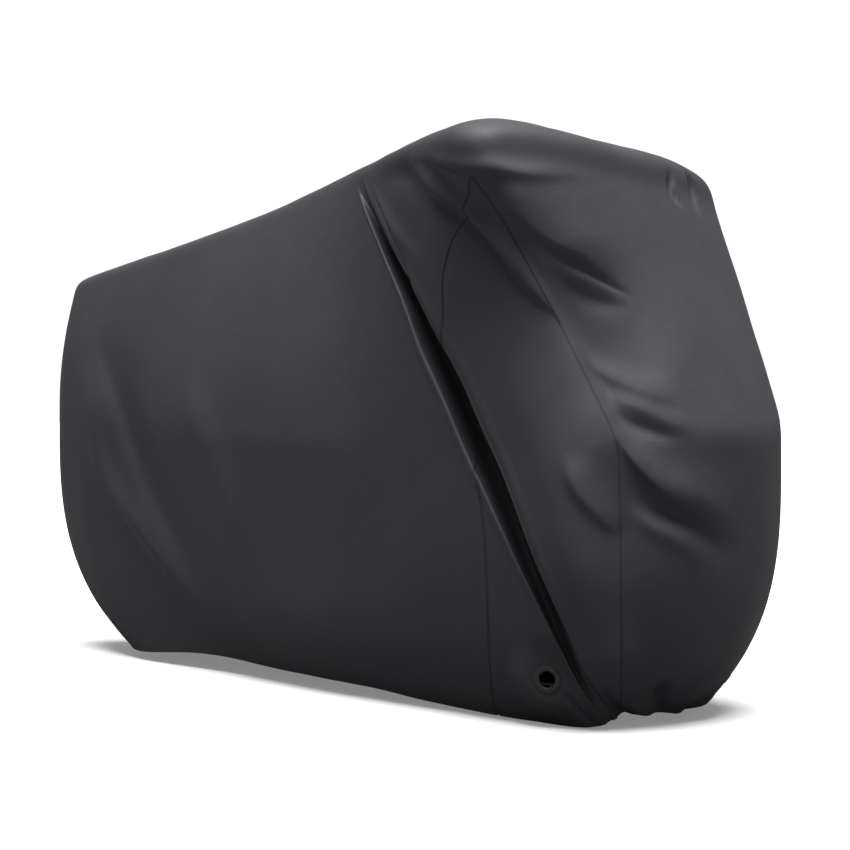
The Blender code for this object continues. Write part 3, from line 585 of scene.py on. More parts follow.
    def fold_shift(self, fold: Fold, line: CreaseLine, base: np.ndarray, normal: np.ndarray) -> np.ndarray:
        """How far one fold moves each point.

        Args:
            fold: The fold.
            line: Its line on the smooth form.
            base: Points of the smooth form.
            normal: Outward normals there.

        Returns:
            The shift of each point.
        """
        shift = np.zeros_like(base)
        reach = self.fold_reach * max(fold.widths) * max(1.0, fold.spread)
        near = line.near(base, reach)
        if not near.any():
            return shift
        along, gap, side, _ = line.beside(base[near], normal[near])
        width = hermite(np.linspace(0, 1, len(fold.widths)), np.array(fold.widths), along, False)
        width = np.where(side > 0, width * fold.spread, width)
        rise = hermite(np.linspace(0, 1, len(fold.rises)), np.array(fold.rises), along, True)
        shift[near] = (rise * np.exp(-((gap / width) ** fold.profile.value)))[:, None] * normal[near]
        return shift

    def deep_shift(self, base: np.ndarray, normal: np.ndarray) -> np.ndarray:
        """How far the long fold moves each point."""
        shift, fold = np.zeros_like(base), self.deep
        near = self.deep_line.near(base, 2 * max(fold.reaches))
        if not near.any():
            return shift
        along, gap, side, left = self.deep_line.beside(base[near], normal[near])
        keys = np.linspace(0, 1, len(fold.reaches))
        reach = hermite(keys, np.array(fold.reaches), along, False)
        depth = hermite(keys, np.array(fold.depths), along, True)
        table = np.array(fold.section)
        place = np.clip(np.sign(side) * gap / reach, table[0, 0], table[-1, 0])
        inward = hermite(table[:, 0], table[:, 1], place, True)
        under = hermite(table[:, 0], table[:, 2], place, True)
        crest = fold.crest_height * np.exp(-((gap / fold.crest_width) ** 2))
        crest = crest * smooth_step(along, 0, fold.crest_fade)
        shift[near] = (crest - depth * inward)[:, None] * normal[near] - (depth * under)[:, None] * left
        return shift

    def ripples(self, base: np.ndarray) -> np.ndarray:
        """The uneven swell of loose cloth, as a height over each point."""
        part, finer = self.ripple_fine_part, self.ripple_finer
        places = base / np.array(self.ripple_size)
        return np.array([noise.noise(Vector(p)) + part * noise.noise(Vector(p * finer)) for p in places])

    def draped(self, share: np.ndarray, height: np.ndarray) -> np.ndarray:
        """Points of the cloth's outer face.

        Args:
            share: Shares round the ring, in any shape.
            height: Heights, in the same shape.

        Returns:
            The points, in that shape with three numbers each.
        """
        shape = np.shape(share)
        share, height = np.ravel(share).astype(float), np.ravel(height).astype(float)
        base, normal = self.smooth(share, height), self.smooth_normal(share, height)
        moved = self.flattened(base, self.eyelet_blend)
        moved = moved + (self.ripple * self.ripples(base))[:, None] * normal
        for fold, line in self.creases:
            moved += self.fold_shift(fold, line, base, normal)
        moved += self.deep_shift(base, normal)
        return self.flattened(moved, self.eyelet_folds).reshape(*shape, 3)

    def crest_share(self, height: np.ndarray) -> np.ndarray:
        """The share of the long fold's crest at each height."""
        line = np.array(self.deep.line[::-1])
        return np.interp(height, line[:, 1], line[:, 0])

    def seam(self, height: np.ndarray, front: bool) -> np.ndarray:
        """The share of a seam at each height."""
        table = np.array([(level.height, level.rear, level.front) for level in SEAMS])
        return hermite(table[:, 0], table[:, 2 if front else 1], np.asarray(height, float), False)


# ---- meshes -------------------------------------------------------------------------------------
@dataclass
class ClothGrid:
    """A grid of cloth that becomes a mesh: one row of columns for each height.

    points and flat have one more row and column on every side than the mesh, so that
    neighbouring pieces meet without a line between them.
    """

    points: np.ndarray
    flat: np.ndarray

    def normals(self) -> np.ndarray:
        """Unit normals at every inner point."""
        along = self.points[:, 2:] - self.points[:, :-2]
        up = self.points[2:] - self.points[:-2]
        return unit(np.cross(along[1:-1], up[:, 1:-1]))


@dataclass
class MeshParts:
    """Vertices, normals, flat places and faces that are gathered into one mesh."""

    vertices: list = field(default_factory=list)
    normals: list = field(default_factory=list)
    flat: list = field(default_factory=list)
    faces: list = field(default_factory=list)
    count: int = 0

    def add_grid(self, points: np.ndarray, normals: np.ndarray, flat: np.ndarray, keep: np.ndarray) -> None:
        """Adds a grid of quads.

        Args:
            points: Rows and columns of points.
            normals: Their normals.
            flat: Their places on the flat cloth.
            keep: Which quads are kept, one fewer each way than the points.
        """
        rows, columns = points.shape[:2]
        index = self.count + np.arange(rows * columns).reshape(rows, columns)
        quads = np.stack([index[:-1, :-1], index[:-1, 1:], index[1:, 1:], index[1:, :-1]], axis=-1)
        self.vertices.append(points.reshape(-1, 3))
        self.normals.append(normals.reshape(-1, 3))
        self.flat.append(flat.reshape(-1, 2))
        self.faces.append(quads[keep].reshape(-1, 4))
        self.count += rows * columns

    def build(self, name: str) -> bpy.types.Object:
        """The object made of all that was added, welded where the grids meet."""
        vertices, normals = np.concatenate(self.vertices), np.concatenate(self.normals)
        flat, faces = np.concatenate(self.flat), np.concatenate(self.faces)
        key = np.round(vertices, WELD_DIGITS)
        _, first, where = np.unique(key, axis=0, return_index=True, return_inverse=True)
        faces = where.reshape(-1)[faces]
        used = np.unique(faces)
        renumber = np.full(len(first), -1)
        renumber[used] = np.arange(len(used))
        chosen = first[used]
        corners = [list(dict.fromkeys(face)) for face in renumber[faces].tolist()]
        corners = [face for face in corners if len(face) > 2]
        piece = new_piece(name, vertices[chosen].tolist(), corners)
        mesh = piece.data
        layer = mesh.uv_layers.new(name=FLAT_LAYER)
        loops = np.empty(len(mesh.loops), np.int32)
        mesh.loops.foreach_get("vertex_index", loops)
        layer.uv.foreach_set("vector", flat[chosen][loops].astype(np.float32).ravel())
        mesh.normals_split_custom_set_from_vertices(normals[chosen].tolist())
        return piece


def surface_area(piece: bpy.types.Object) -> float:
    """The area of a piece's faces."""
    return sum(face.area for face in piece.data.polygons)


@dataclass
class SheetCutter:
    """Cuts pieces of cloth out of the draped form, and finishes their hems and seam edges.

    The hem is turned in over turn_rows rows, which stand turn_gap inside it and turn_spread more at
    the last one. An eyelet cuts only the cloth that lies within hole_depth of its face.
    """

    form: DrapedForm
    hem_band: float = 0.016
    hem_blend: float = 0.001
    hem_raise: float = 0.0007
    hem_turn: float = 0.0016
    hem_edge: float = 0.0022
    turn_rows: int = 6
    turn_gap: float = 0.0012
    turn_spread: float = 0.0016
    hole_depth: float = 0.02
    seam_dip: float = 0.0028
    seam_half_width: float = 0.0030

    def lifted(self, points: np.ndarray, normals: np.ndarray, height: np.ndarray) -> np.ndarray:
        """The cloth with its doubled hem band standing a little proud."""
        run = height * self.form.rise
        band = 1 - smooth_step(run, self.hem_band - self.hem_blend, self.hem_band + self.hem_blend)
        edge = np.exp(-((run / self.hem_edge) ** 2))
        return points + normals * (self.hem_raise * band - self.hem_turn * edge)[..., None]

    def add(
        self,
        parts: MeshParts,
        share: np.ndarray,
        height: np.ndarray,
        seams: tuple[bool, bool],
        hem: bool,
        hole: EyeletPlace | None = None,
    ) -> None:
        """Adds one grid of cloth to a mesh.

        Args:
            parts: What the grid is added to.
            share: Shares of the grid, with a spare row and column on every side.
            height: Heights of the grid, likewise.
            seams: Whether its first and its last column lie along a seam.
            hem: Whether its first row is the hem.
            hole: The eyelet that the cloth is cut out for.
        """
        flat = np.stack([share * self.form.girth, height * self.form.rise], -1)
        grid = ClothGrid(self.form.draped(share, height), flat)
        normals = grid.normals()
        points, flat, level = grid.points[1:-1, 1:-1], grid.flat[1:-1, 1:-1], height[1:-1, 1:-1]
        dip = np.zeros(points.shape[:2])
        for at, along in zip((0, -1), seams):
            if along:
                gap = np.linalg.norm(points - points[:, at][:, None], axis=-1)
                dip += self.seam_dip * np.exp(-((gap / self.seam_half_width) ** 2))
        points = points - normals * dip[..., None]
        if hem:
            points = self.lifted(points, normals, level)
            rows = self.turn_rows
            inward = (self.turn_gap + self.turn_spread * np.linspace(0, 1, rows))[:, None, None]
            inner = points[:rows] - normals[:rows] * inward
            points = np.concatenate([inner[::-1], points])
            normals = np.concatenate([-normals[:rows][::-1], normals])
            flat = np.concatenate([flat[:rows][::-1] * np.array([1, -1]), flat])
        keep = np.ones((points.shape[0] - 1, points.shape[1] - 1), bool)
        if hole is not None:
            off = points - hole.centre
            depth = off @ hole.axis
            apart = np.linalg.norm(off - depth[..., None] * hole.axis, axis=-1)
            out = (apart > EyeletRing.cloth_hole) | (np.abs(depth) > self.hole_depth)
            keep = out[:-1, :-1] | out[1:, :-1] | out[:-1, 1:] | out[1:, 1:]
        parts.add_grid(points, normals, flat, keep)


class StripKind(Enum):
    """Which strip of a side a grid of cloth covers."""

    REAR = "from the middle of the rear to the split"
    FOLD = "from the split to the gore, with the long fold"
    FRONT = "from the gore to the middle of the front"
    GORE = "between the two seams"


@dataclass(frozen=True)
class Strip:
    """A strip of cloth between two edges, its columns closest beside the long fold and the seams.

    counts are the numbers of columns before the long fold, over it and after it. seam_part,
    lead_parts and fold_part keep those bands within parts of a narrow strip's width.
    """

    form: DrapedForm
    kind: StripKind
    counts: tuple[int, int, int]
    split: float = 0.44
    seam_band: float = 0.0023
    seam_columns: int = 5
    fold_lead: float = 0.008
    fold_band: float = 0.050
    seam_part: float = 0.12
    lead_parts: tuple[float, float] = (0.02, 0.84)
    fold_part: float = 0.7

    def seams(self) -> tuple[bool, bool]:
        """Whether the strip's first and last column lie along a seam, below the seams' apex."""
        gore = self.kind is StripKind.GORE
        return gore or self.kind is StripKind.FRONT, gore or self.kind is StripKind.FOLD

    def edges(self, height: np.ndarray, above: bool) -> tuple[np.ndarray, np.ndarray]:
        """The shares of the strip's two edges at each height, below or above the seams' apex."""
        level = np.full_like(height, APEX.height) if above else np.clip(height, 0, APEX.height)
        rear, front = self.form.seam(level, False), self.form.seam(level, True)
        split = np.full_like(height, self.split)
        return {
            StripKind.REAR: (0 * split, split),
            StripKind.FOLD: (split, rear),
            StripKind.FRONT: (front, 0 * split + 1),
            StripKind.GORE: (rear, front),
        }[self.kind]

    def shares(self, height: np.ndarray, above: bool) -> np.ndarray:
        """The shares of every column, one row for each height, with a spare column at each side."""
        start, end = self.edges(height, above)
        width = end - start
        band = np.minimum(self.seam_band, self.seam_part * width)
        room = width - 2 * band
        least, most = self.lead_parts
        lead = self.form.crest_share(height) - self.fold_lead - start - band
        lead = np.clip(lead, least * room, most * room)
        over = np.minimum(self.fold_band, self.fold_part * (room - lead))
        knots = [start, start + band, start + band + lead, start + band + lead + over, end - band, end]
        columns = []
        for low, high, count in zip(knots, knots[1:], (self.seam_columns, *self.counts, self.seam_columns)):
            part = np.arange(count) / count
            columns.append(low[:, None] + (high - low)[:, None] * part[None])
        table = np.concatenate(columns + [end[:, None]], axis=1)
        before, after = 2 * table[:, :1] - table[:, 1:2], 2 * table[:, -1:] - table[:, -2:-1]
        return np.concatenate([before, table, after], axis=1)


HEM_STEPS = ((0.0, 0.0016), (0.004, 0.0035))


@dataclass
class ClothPiece:
    """One mesh of cloth, made of one or more strips of a side.

    low_steps and high_steps are the rows' heights below and above the seams' apex, each with the
    step from there on.
    """

    name: str
    cutter: SheetCutter
    far: bool
    strips: tuple[Strip, ...]
    low_steps: tuple[tuple[float, float], ...]
    high_steps: tuple[tuple[float, float], ...]

    def build(self) -> bpy.types.Object:
        """The piece as one mesh, slit along the seams that bound its strips."""
        parts = MeshParts()
        low = widened(spaced([*HEM_STEPS, *self.low_steps]))
        high = widened(spaced(list(self.high_steps)))
        for strip in self.strips:
            self.add(parts, strip, low, False)
            if strip.kind is not StripKind.GORE:
                self.add(parts, strip, high, True)
        piece = parts.build(self.name)
        log.info("%s: %d faces, %.3f square metres", self.name, len(piece.data.polygons), surface_area(piece))
        return piece

    def add(self, parts: MeshParts, strip: Strip, rows: np.ndarray, above: bool) -> None:
        """Adds one strip's grid, below or above the seams' apex."""
        share = strip.shares(rows, above)
        height = np.repeat(rows[:, None], share.shape[1], axis=1)
        seams = (False, False) if above else strip.seams()
        if self.far:
            share, height, seams = 2 - share[:, ::-1], height[:, ::-1], seams[::-1]
        hole = self.cutter.form.eyelets[int(self.far)] if strip.kind is StripKind.GORE else None
        self.cutter.add(parts, share, height, seams, not above, hole)


@dataclass
class EyeletRing:
    """The moulded ring that is clamped through a gore."""

    name: str
    place: EyeletPlace
    hole: float = 0.0152
    rim: float = 0.0250
    neck: float = 0.0172
    cloth: float = 0.0020
    clearance: float = 0.00045
    flange: float = 0.0017
    sides: int = 96
    face_steps: int = 12
    face_round: float = 0.55
    cloth_hole: float = 0.0190

    def section(self) -> list[tuple[float, float]]:
        """The ring's half section as radius and height over the cloth's face."""
        top = self.clearance + self.flange
        foot = -self.cloth - self.clearance - self.flange
        face = []
        for i in range(self.face_steps + 1):
            turn = math.pi * i / self.face_steps
            across = self.hole + (self.rim - self.hole) * (1 - math.cos(turn)) / 2
            swell = math.sin(turn) ** self.face_round
            face.append((across, self.clearance + self.flange * swell))
        back = [(across, foot + (top - height)) for across, height in face[::-1]]
        outer = [(self.rim, self.clearance), (self.neck, self.clearance)]
        inner = [(self.neck, -self.cloth - self.clearance), (self.rim, -self.cloth - self.clearance)]
        return face[:-1] + outer + inner + back[1:]

    def build(self) -> bpy.types.Object:
        """The ring as one turned mesh."""
        section, (level, upright) = self.section(), self.place.across()
        centre, axis, count = self.place.centre, self.place.axis, len(section)
        vertices, faces = [], []
        for i in range(self.sides):
            turn = 2 * math.pi * i / self.sides
            outward = math.cos(turn) * level + math.sin(turn) * upright
            vertices += [tuple(centre + radius * outward + height * axis) for radius, height in section]
            here, beyond = i * count, (i + 1) % self.sides * count
            for k in range(count):
                after = (k + 1) % count
                faces.append((here + k, beyond + k, beyond + after, here + after))
        piece = new_piece(self.name, vertices, faces)
        log.info("%s: %d faces", self.name, len(faces))
        return piece


@dataclass
class StitchRow:
    """A row of stitches that follows a line on the cloth.

    sections are a stitch's rings: the place of each as a part of the length, then its size and its
    height over the cloth as parts of the radius.
    """

    form: DrapedForm
    pitch: float = 0.0042
    length: float = 0.0031
    radius: float = 0.00042
    sink: float = 0.00010
    sides: int = 6
    share_step: float = 0.0006
    height_step: float = 0.0010
    sections: tuple[tuple[float, float, float], ...] = (
        (-0.5, 0.25, -0.9), (-0.3, 0.85, 0.0), (0.0, 1.0, 0.35), (0.3, 0.85, 0.0), (0.5, 0.25, -0.9),
    )

    def along(self, share: np.ndarray, height: np.ndarray, lift: float) -> tuple[np.ndarray, np.ndarray]:
        """Vertices and faces of the stitches along a line.

        Args:
            share: Shares of the line's points.
            height: Heights of the line's points.
            lift: How far the cloth stands proud there.

        Returns:
            The vertices and the faces.
        """
        line = self.form.draped(share, height)
        beside = self.form.draped(share + self.share_step, height) - line
        above = self.form.draped(share, height + self.height_step) - line
        normal = unit(np.cross(beside, above))
        run = np.concatenate([[0], np.cumsum(np.linalg.norm(np.diff(line, axis=0), axis=1))])
        count = int(run[-1] / self.pitch)
        middle = (np.arange(count) + 0.5) * self.pitch
        places, sizes, depths = np.array(self.sections).T
        at = middle[:, None] + (places * self.length)[None]
        point = np.stack([np.interp(at, run, line[:, k]) for k in range(3)], axis=-1)
        out = unit(np.stack([np.interp(at, run, normal[:, k]) for k in range(3)], axis=-1))
        across = unit(np.cross(unit(np.gradient(point, axis=1)), out))
        centre = point + out * (lift + depths * self.radius - self.sink)[None, :, None]
        turn = (2 * np.pi * np.arange(self.sides) / self.sides)[None, None, :, None]
        size = (sizes * self.radius)[None, :, None, None]
        ring = centre[:, :, None] + across[:, :, None] * (np.cos(turn) * size)
        ring = ring + out[:, :, None] * (np.sin(turn) * size)
        around = np.arange(self.sides)[None, None]
        base = np.arange(count)[:, None, None] * (len(places) * self.sides)
        base = base + np.arange(len(places) - 1)[None, :, None] * self.sides
        a, b = base + around, base + (around + 1) % self.sides
        faces = np.stack([a, b, b + self.sides, a + self.sides], axis=-1).reshape(-1, 4)
        return ring.reshape(-1, 3), faces


@dataclass
class Stitching:
    """All the stitches of one side: beside both seams, round the hem, and a circle round the eyelet whose
    black thread also stands in for the shadow gap round the ring (painted shade).
    """

    cutter: SheetCutter
    far: bool
    seam_off: float = 0.0028
    hem_up: float = 0.0125
    seam_foot: float = 0.016
    seam_top: float = APEX.height - 0.004
    seam_points: int = 400
    hem_points: int = 1400
    # The circle of black stitches round the eyelet sits where the ring's flange casts a thin shadow: it is
    # stitching and painted shade at once.
    stitch_and_shadow_radius: float = 0.0275
    circle_step: float = 0.004
    circle_points: int = 160

    def circle(self) -> tuple[np.ndarray, np.ndarray]:
        """Shares and heights of the points of a stitched circle round the eyelet, whose black thread is also
        painted shade for the thin shadow round the ring.
        """
        form = self.cutter.form
        step = self.circle_step
        share = 2 - form.eyelet_share if self.far else form.eyelet_share
        level, upright = form.eyelets[int(self.far)].across()
        beside = form.draped(share + np.array([-step, step]), np.full(2, form.eyelet_height))
        above = form.draped(np.full(2, share), form.eyelet_height + np.array([-step, step]))
        sides = np.stack([beside[1] - beside[0], above[1] - above[0]]) / (2 * step)
        reading = np.linalg.inv(np.stack([sides @ level, sides @ upright]))
        turn = np.linspace(0, 2 * np.pi, self.circle_points)
        off = reading @ (self.stitch_and_shadow_radius * np.stack([np.cos(turn), np.sin(turn)]))
        return share + off[0], form.eyelet_height + off[1]

    def build(self) -> bpy.types.Object:
        """The stitches as one mesh."""
        form, row = self.cutter.form, StitchRow(self.cutter.form)
        made = []
        height = np.linspace(self.seam_foot, self.seam_top, self.seam_points)
        for front in (False, True):
            off = self.seam_off / form.girth * (1 if front else -1)
            share = form.seam(height, front) + off
            made.append(row.along(2 - share if self.far else share, height, 0.0))
        low, high = (1.0, 2.0) if self.far else (0.0, 1.0)
        share = np.linspace(low, high, self.hem_points)
        made.append(row.along(share, np.full_like(share, self.hem_up / form.rise), self.cutter.hem_raise))
        # The dark stitched circle round the eyelet, which also stands in for the shadow gap round its ring:
        # painted shade.
        made.append(row.along(*self.circle(), 0.0))
        vertices, faces, count = [], [], 0
        for points, quads in made:
            vertices.append(points)
            faces.append(quads + count)
            count += len(points)
        name = "stitching_left" if self.far else "stitching_right"
        piece = new_piece(name, np.concatenate(vertices).tolist(), np.concatenate(faces).tolist())
        log.info("%s: %d faces", name, len(piece.data.polygons))
        return piece


# ---- finishes -----------------------------------------------------------------------------------
class NodeBench:
    """Adds and joins nodes in one node tree."""

    def __init__(self, tree: bpy.types.NodeTree) -> None:
        """Works on a node tree."""
        self.tree = tree

    def feed(self, node: bpy.types.Node, values: dict) -> None:
        """Sets a node's input sockets to values, or joins them to the sockets that feed them."""
        for name, value in values.items():
            if isinstance(value, bpy.types.NodeSocket):
                self.tree.links.new(value, node.inputs[name])
            else:
                node.inputs[name].default_value = value

    def add(self, kind: str, values: dict | None = None, **settings: object) -> bpy.types.Node:
        """Adds a node.

        Args:
            kind: The node's type.
            values: Values for its input sockets, or the sockets that feed them.
            settings: Attributes of the node itself.

        Returns:
            The node.
        """
        node = self.tree.nodes.new(kind)
        for name, value in settings.items():
            setattr(node, name, value)
        self.feed(node, values or {})
        return node

    def math(
        self, operation: str, first: object, second: object = 0.0, third: object = 0.0
    ) -> bpy.types.NodeSocket:
        """The result of a sum on sockets or numbers."""
        node = self.add("ShaderNodeMath", {0: first, 1: second, 2: third}, operation=operation)
        return node.outputs[0]

    def noise(self, scale: object, detail: float, roughness: float, distortion: float = 0.0) -> object:
        """Noise over the object's own coordinates."""
        place = self.add("ShaderNodeTexCoord").outputs["Object"]
        values = {"Vector": place, "Scale": scale, "Detail": detail, "Roughness": roughness}
        return self.add("ShaderNodeTexNoise", {**values, "Distortion": distortion}).outputs["Fac"]


def new_group(name: str, inputs: dict[str, tuple[str, object]], outputs: dict[str, str]) -> tuple:
    """A new shader node group.

    Args:
        name: The group's name.
        inputs: Each input's socket type and first value.
        outputs: Each output's socket type.

    Returns:
        A bench on the group's tree, the sockets that its inputs give, and its output node.
    """
    tree = bpy.data.node_groups.new(name, "ShaderNodeTree")
    for label, (kind, value) in inputs.items():
        socket = tree.interface.new_socket(label, in_out="INPUT", socket_type=kind)
        socket.default_value = value
    for label, kind in outputs.items():
        tree.interface.new_socket(label, in_out="OUTPUT", socket_type=kind)
    bench = NodeBench(tree)
    return bench, bench.add("NodeGroupInput").outputs, bench.add("NodeGroupOutput")


def new_material(name: str) -> tuple[bpy.types.Material, NodeBench, bpy.types.Node]:
    """A new material, a bench on its nodes, and its shader."""
    made = bpy.data.materials.new(name)
    made.use_nodes = True
    return made, NodeBench(made.node_tree), made.node_tree.nodes[SHADER]


# How much finer the fine noise of a coating is, its part in the mix, and the mix's contrast.
MOTTLE_FINER = 14.0
MOTTLE_FINE_PART = 0.35
MOTTLE_CONTRAST = 4.0


def mottle_group() -> bpy.types.NodeTree:
    """Soft uneven colour and gloss, as a coating takes with handling."""
    bench, given, result = new_group(
        "uneven_coating",
        {
            "Color": ("NodeSocketColor", (0.03, 0.03, 0.03, 1.0)),
            "Amount": ("NodeSocketFloat", 0.2),
            "Size": ("NodeSocketFloat", 0.2),
            "Roughness": ("NodeSocketFloat", 0.5),
            "Roughness Range": ("NodeSocketFloat", 0.1),
        },
        {"Color": "NodeSocketColor", "Roughness": "NodeSocketFloat"},
    )
    scale = bench.math("DIVIDE", 1.0, given["Size"])
    fine = bench.noise(bench.math("MULTIPLY", scale, MOTTLE_FINER), 4.0, 0.6)
    wide = bench.math("MULTIPLY", bench.noise(scale, 3.0, 0.55), 1 - MOTTLE_FINE_PART)
    mixed = bench.math("MULTIPLY_ADD", fine, MOTTLE_FINE_PART, wide)
    signed = bench.math("SUBTRACT", mixed, 0.5)
    amount = bench.math("MULTIPLY", given["Amount"], MOTTLE_CONTRAST)
    factor = bench.math("MULTIPLY_ADD", signed, amount, 1.0)
    colour = bench.add("ShaderNodeVectorMath", {0: given["Color"], "Scale": factor}, operation="SCALE")
    spread = bench.math("MULTIPLY", given["Roughness Range"], MOTTLE_CONTRAST)
    rough = bench.math("MULTIPLY_ADD", signed, spread, given["Roughness"])
    bench.feed(result, {"Color": colour.outputs[0], "Roughness": rough})
    return bench.tree


def weave_group() -> bpy.types.NodeTree:
    """The height of a plain weave under its coating, with the small creases of packed cloth."""
    bench, given, result = new_group(
        "coated_weave",
        {
            "Pitch": ("NodeSocketFloat", 0.0012),
            "Weave": ("NodeSocketFloat", 1.0),
            "Crease Size": ("NodeSocketFloat", 0.03),
            "Crease": ("NodeSocketFloat", 1.0),
        },
        {"Height": "NodeSocketFloat"},
    )
    place = bench.add("ShaderNodeUVMap", uv_map=FLAT_LAYER).outputs["UV"]
    parts = bench.add("ShaderNodeSeparateXYZ", {"Vector": place})
    turn = bench.math("DIVIDE", 2 * math.pi, given["Pitch"])
    warp = bench.math("SINE", bench.math("MULTIPLY", parts.outputs["X"], turn))
    weft = bench.math("SINE", bench.math("MULTIPLY", parts.outputs["Y"], turn))
    weave = bench.math("MULTIPLY", bench.math("MULTIPLY", warp, weft), given["Weave"])
    scale = bench.math("DIVIDE", 1.0, given["Crease Size"])
    crease = bench.noise(scale, 3.0, 0.5, distortion=0.6)
    total = bench.math("MULTIPLY_ADD", crease, given["Crease"], weave)
    bench.feed(result, {"Height": total})
    return bench.tree


@dataclass(frozen=True)
class PlainFinish:
    """A finish of one colour with uneven gloss: thread or moulded plastic."""

    name: str
    colour: tuple[float, float, float]
    roughness: float
    size: float
    amount: float
    roughness_range: float = 0.12

    def make(self, mottle: bpy.types.NodeTree) -> bpy.types.Material:
        """The material."""
        made, bench, shader = new_material(self.name)
        values = {
            "Color": (*self.colour, 1.0),
            "Amount": self.amount,
            "Size": self.size,
            "Roughness": self.roughness,
            "Roughness Range": self.roughness_range,
        }
        coat = bench.add("ShaderNodeGroup", values, node_tree=mottle).outputs
        bench.feed(shader, {"Base Color": coat["Color"], "Roughness": coat["Roughness"]})
        return made


@dataclass(frozen=True)
class CoatedCloth(PlainFinish):
    """Black polyester with a waterproof coating: soft broad highlights and a fine weave."""

    name: str = "coated_polyester"
    colour: tuple[float, float, float] = (0.034, 0.033, 0.039)
    roughness: float = 0.62
    size: float = 0.22
    amount: float = 0.16
    roughness_range: float = 0.10
    specular: float = 0.28
    weave_pitch: float = 0.0011
    weave_height: float = 0.00004
    crease_size: float = 0.045
    crease_height: float = 0.0009
    bump_strength: float = 0.6

    def make_woven(self, mottle: bpy.types.NodeTree, weave: bpy.types.NodeTree) -> bpy.types.Material:
        """The material, with the relief of its weave."""
        made = self.make(mottle)
        bench = NodeBench(made.node_tree)
        values = {
            "Pitch": self.weave_pitch,
            "Weave": self.weave_height,
            "Crease Size": self.crease_size,
            "Crease": self.crease_height,
        }
        relief = bench.add("ShaderNodeGroup", values, node_tree=weave).outputs["Height"]
        bump = {"Height": relief, "Strength": self.bump_strength, "Distance": 1.0}
        normal = bench.add("ShaderNodeBump", bump).outputs["Normal"]
        bench.feed(made.node_tree.nodes[SHADER], {"Normal": normal, "Specular IOR Level": self.specular})
        return made


# ---- the studio ---------------------------------------------------------------------------------
@dataclass
class Studio:
    """The pale floor, the soft light and the camera.

    mirrored, ambient and backdrop are how bright the surroundings are in reflections, as light and
    as seen. floor_tone and floor_glow are the floor as seen, and floor_bounce is what it lights.
    """

    floor_level: float = -0.0012
    floor_half: float = 40.0
    floor_roughness: float = 0.9
    floor_specular: float = 0.1
    floor_bounce: float = 0.15
    floor_tone: float = 0.6
    floor_glow: float = 0.22
    # A disc of painted shade on the floor inside the cover, behind the eyelet's hole.
    shade_centre: tuple[float, float] = (0.40, 0.065)
    shade_half: tuple[float, float] = (0.20, 0.135)
    shade_lift: float = 0.0003
    shade_tone: float = 0.02
    shade_sides: int = 48
    sun_strength: float = 8.5
    sun_spread: float = 48.0
    sun_toward: tuple[float, float, float] = (-0.07, 0.05, -1.0)
    ambient: float = 0.205
    mirrored: float = 0.31
    backdrop: float = 1.05
    camera_place: tuple[float, float, float] = (2.9843, -2.9679, 0.5787)
    camera_yaw: float = 43.145
    camera_pitch: float = -0.7136
    lens: float = 85.0
    sight: float = 200.0

    def build(self) -> None:
        """Makes the floor, the light, the surroundings and the camera."""
        self.floor()
        self.shade()
        self.light()
        self.surroundings()
        self.camera()

    def lay(self, name: str, corners: list, finish: bpy.types.Material) -> None:
        """Lays one flat face out, with its material."""
        piece = new_piece(name, corners, [tuple(range(len(corners)))])
        piece.data.materials.append(finish)

    def floor(self) -> None:
        """A wide white floor."""
        half, z = self.floor_half, self.floor_level
        white, bench, shader = new_material("floor_white")
        seen = bench.add("ShaderNodeLightPath").outputs["Is Camera Ray"]
        tone = bench.math("MULTIPLY_ADD", seen, self.floor_tone - self.floor_bounce, self.floor_bounce)
        values = {
            "Base Color": tone,
            "Roughness": self.floor_roughness,
            "Specular IOR Level": self.floor_specular,
            "Emission Color": WHITE,
            "Emission Strength": bench.math("MULTIPLY", seen, self.floor_glow),
        }
        bench.feed(shader, values)
        self.lay("floor", [(-half, -half, z), (half, -half, z), (half, half, z), (-half, half, z)], white)

    def shade(self) -> None:
        """A dark disc on the floor inside the cover: painted shade where little light reaches, and a little
        past the far hem as a painted contact shadow.
        """
        (x, y), (across, deep) = self.shade_centre, self.shade_half
        z = self.floor_level + self.shade_lift
        turns = [2 * math.pi * i / self.shade_sides for i in range(self.shade_sides)]
        dark, bench, shader = new_material("floor_shade")
        tone = (self.shade_tone, self.shade_tone, self.shade_tone, 1.0)
        bench.feed(shader, {"Base Color": tone, "Roughness": self.floor_roughness})
        self.lay("floor_shade", [(x + across * math.cos(t), y + deep * math.sin(t), z) for t in turns], dark)

    def light(self) -> None:
        """A broad light from above."""
        light = bpy.data.lights.new("overhead", "SUN")
        light.energy = self.sun_strength
        light.angle = math.radians(self.sun_spread)
        piece = in_scene("overhead", light)
        piece.rotation_euler = Vector(self.sun_toward).to_track_quat("-Z", "Y").to_euler()

    def surroundings(self) -> None:
        """White surroundings, which light the cover less than they show."""
        world = bpy.data.worlds.new("studio")
        world.use_nodes = True
        bpy.context.scene.world = world
        bench = NodeBench(world.node_tree)
        path, ambient = bench.add("ShaderNodeLightPath").outputs, self.ambient
        strength = bench.math("MULTIPLY_ADD", path["Is Glossy Ray"], self.mirrored - ambient, ambient)
        strength = bench.math("MULTIPLY_ADD", path["Is Camera Ray"], self.backdrop - ambient, strength)
        bench.feed(world.node_tree.nodes["Background"], {"Color": WHITE, "Strength": strength})

    def camera(self) -> None:
        """The camera, at the photograph's viewing angle."""
        data = bpy.data.cameras.new("camera")
        data.lens = self.lens
        data.clip_end = self.sight
        piece = in_scene("camera", data)
        piece.location = self.camera_place
        piece.rotation_euler = (math.radians(90 + self.camera_pitch), 0.0, math.radians(self.camera_yaw))
        bpy.context.scene.camera = piece


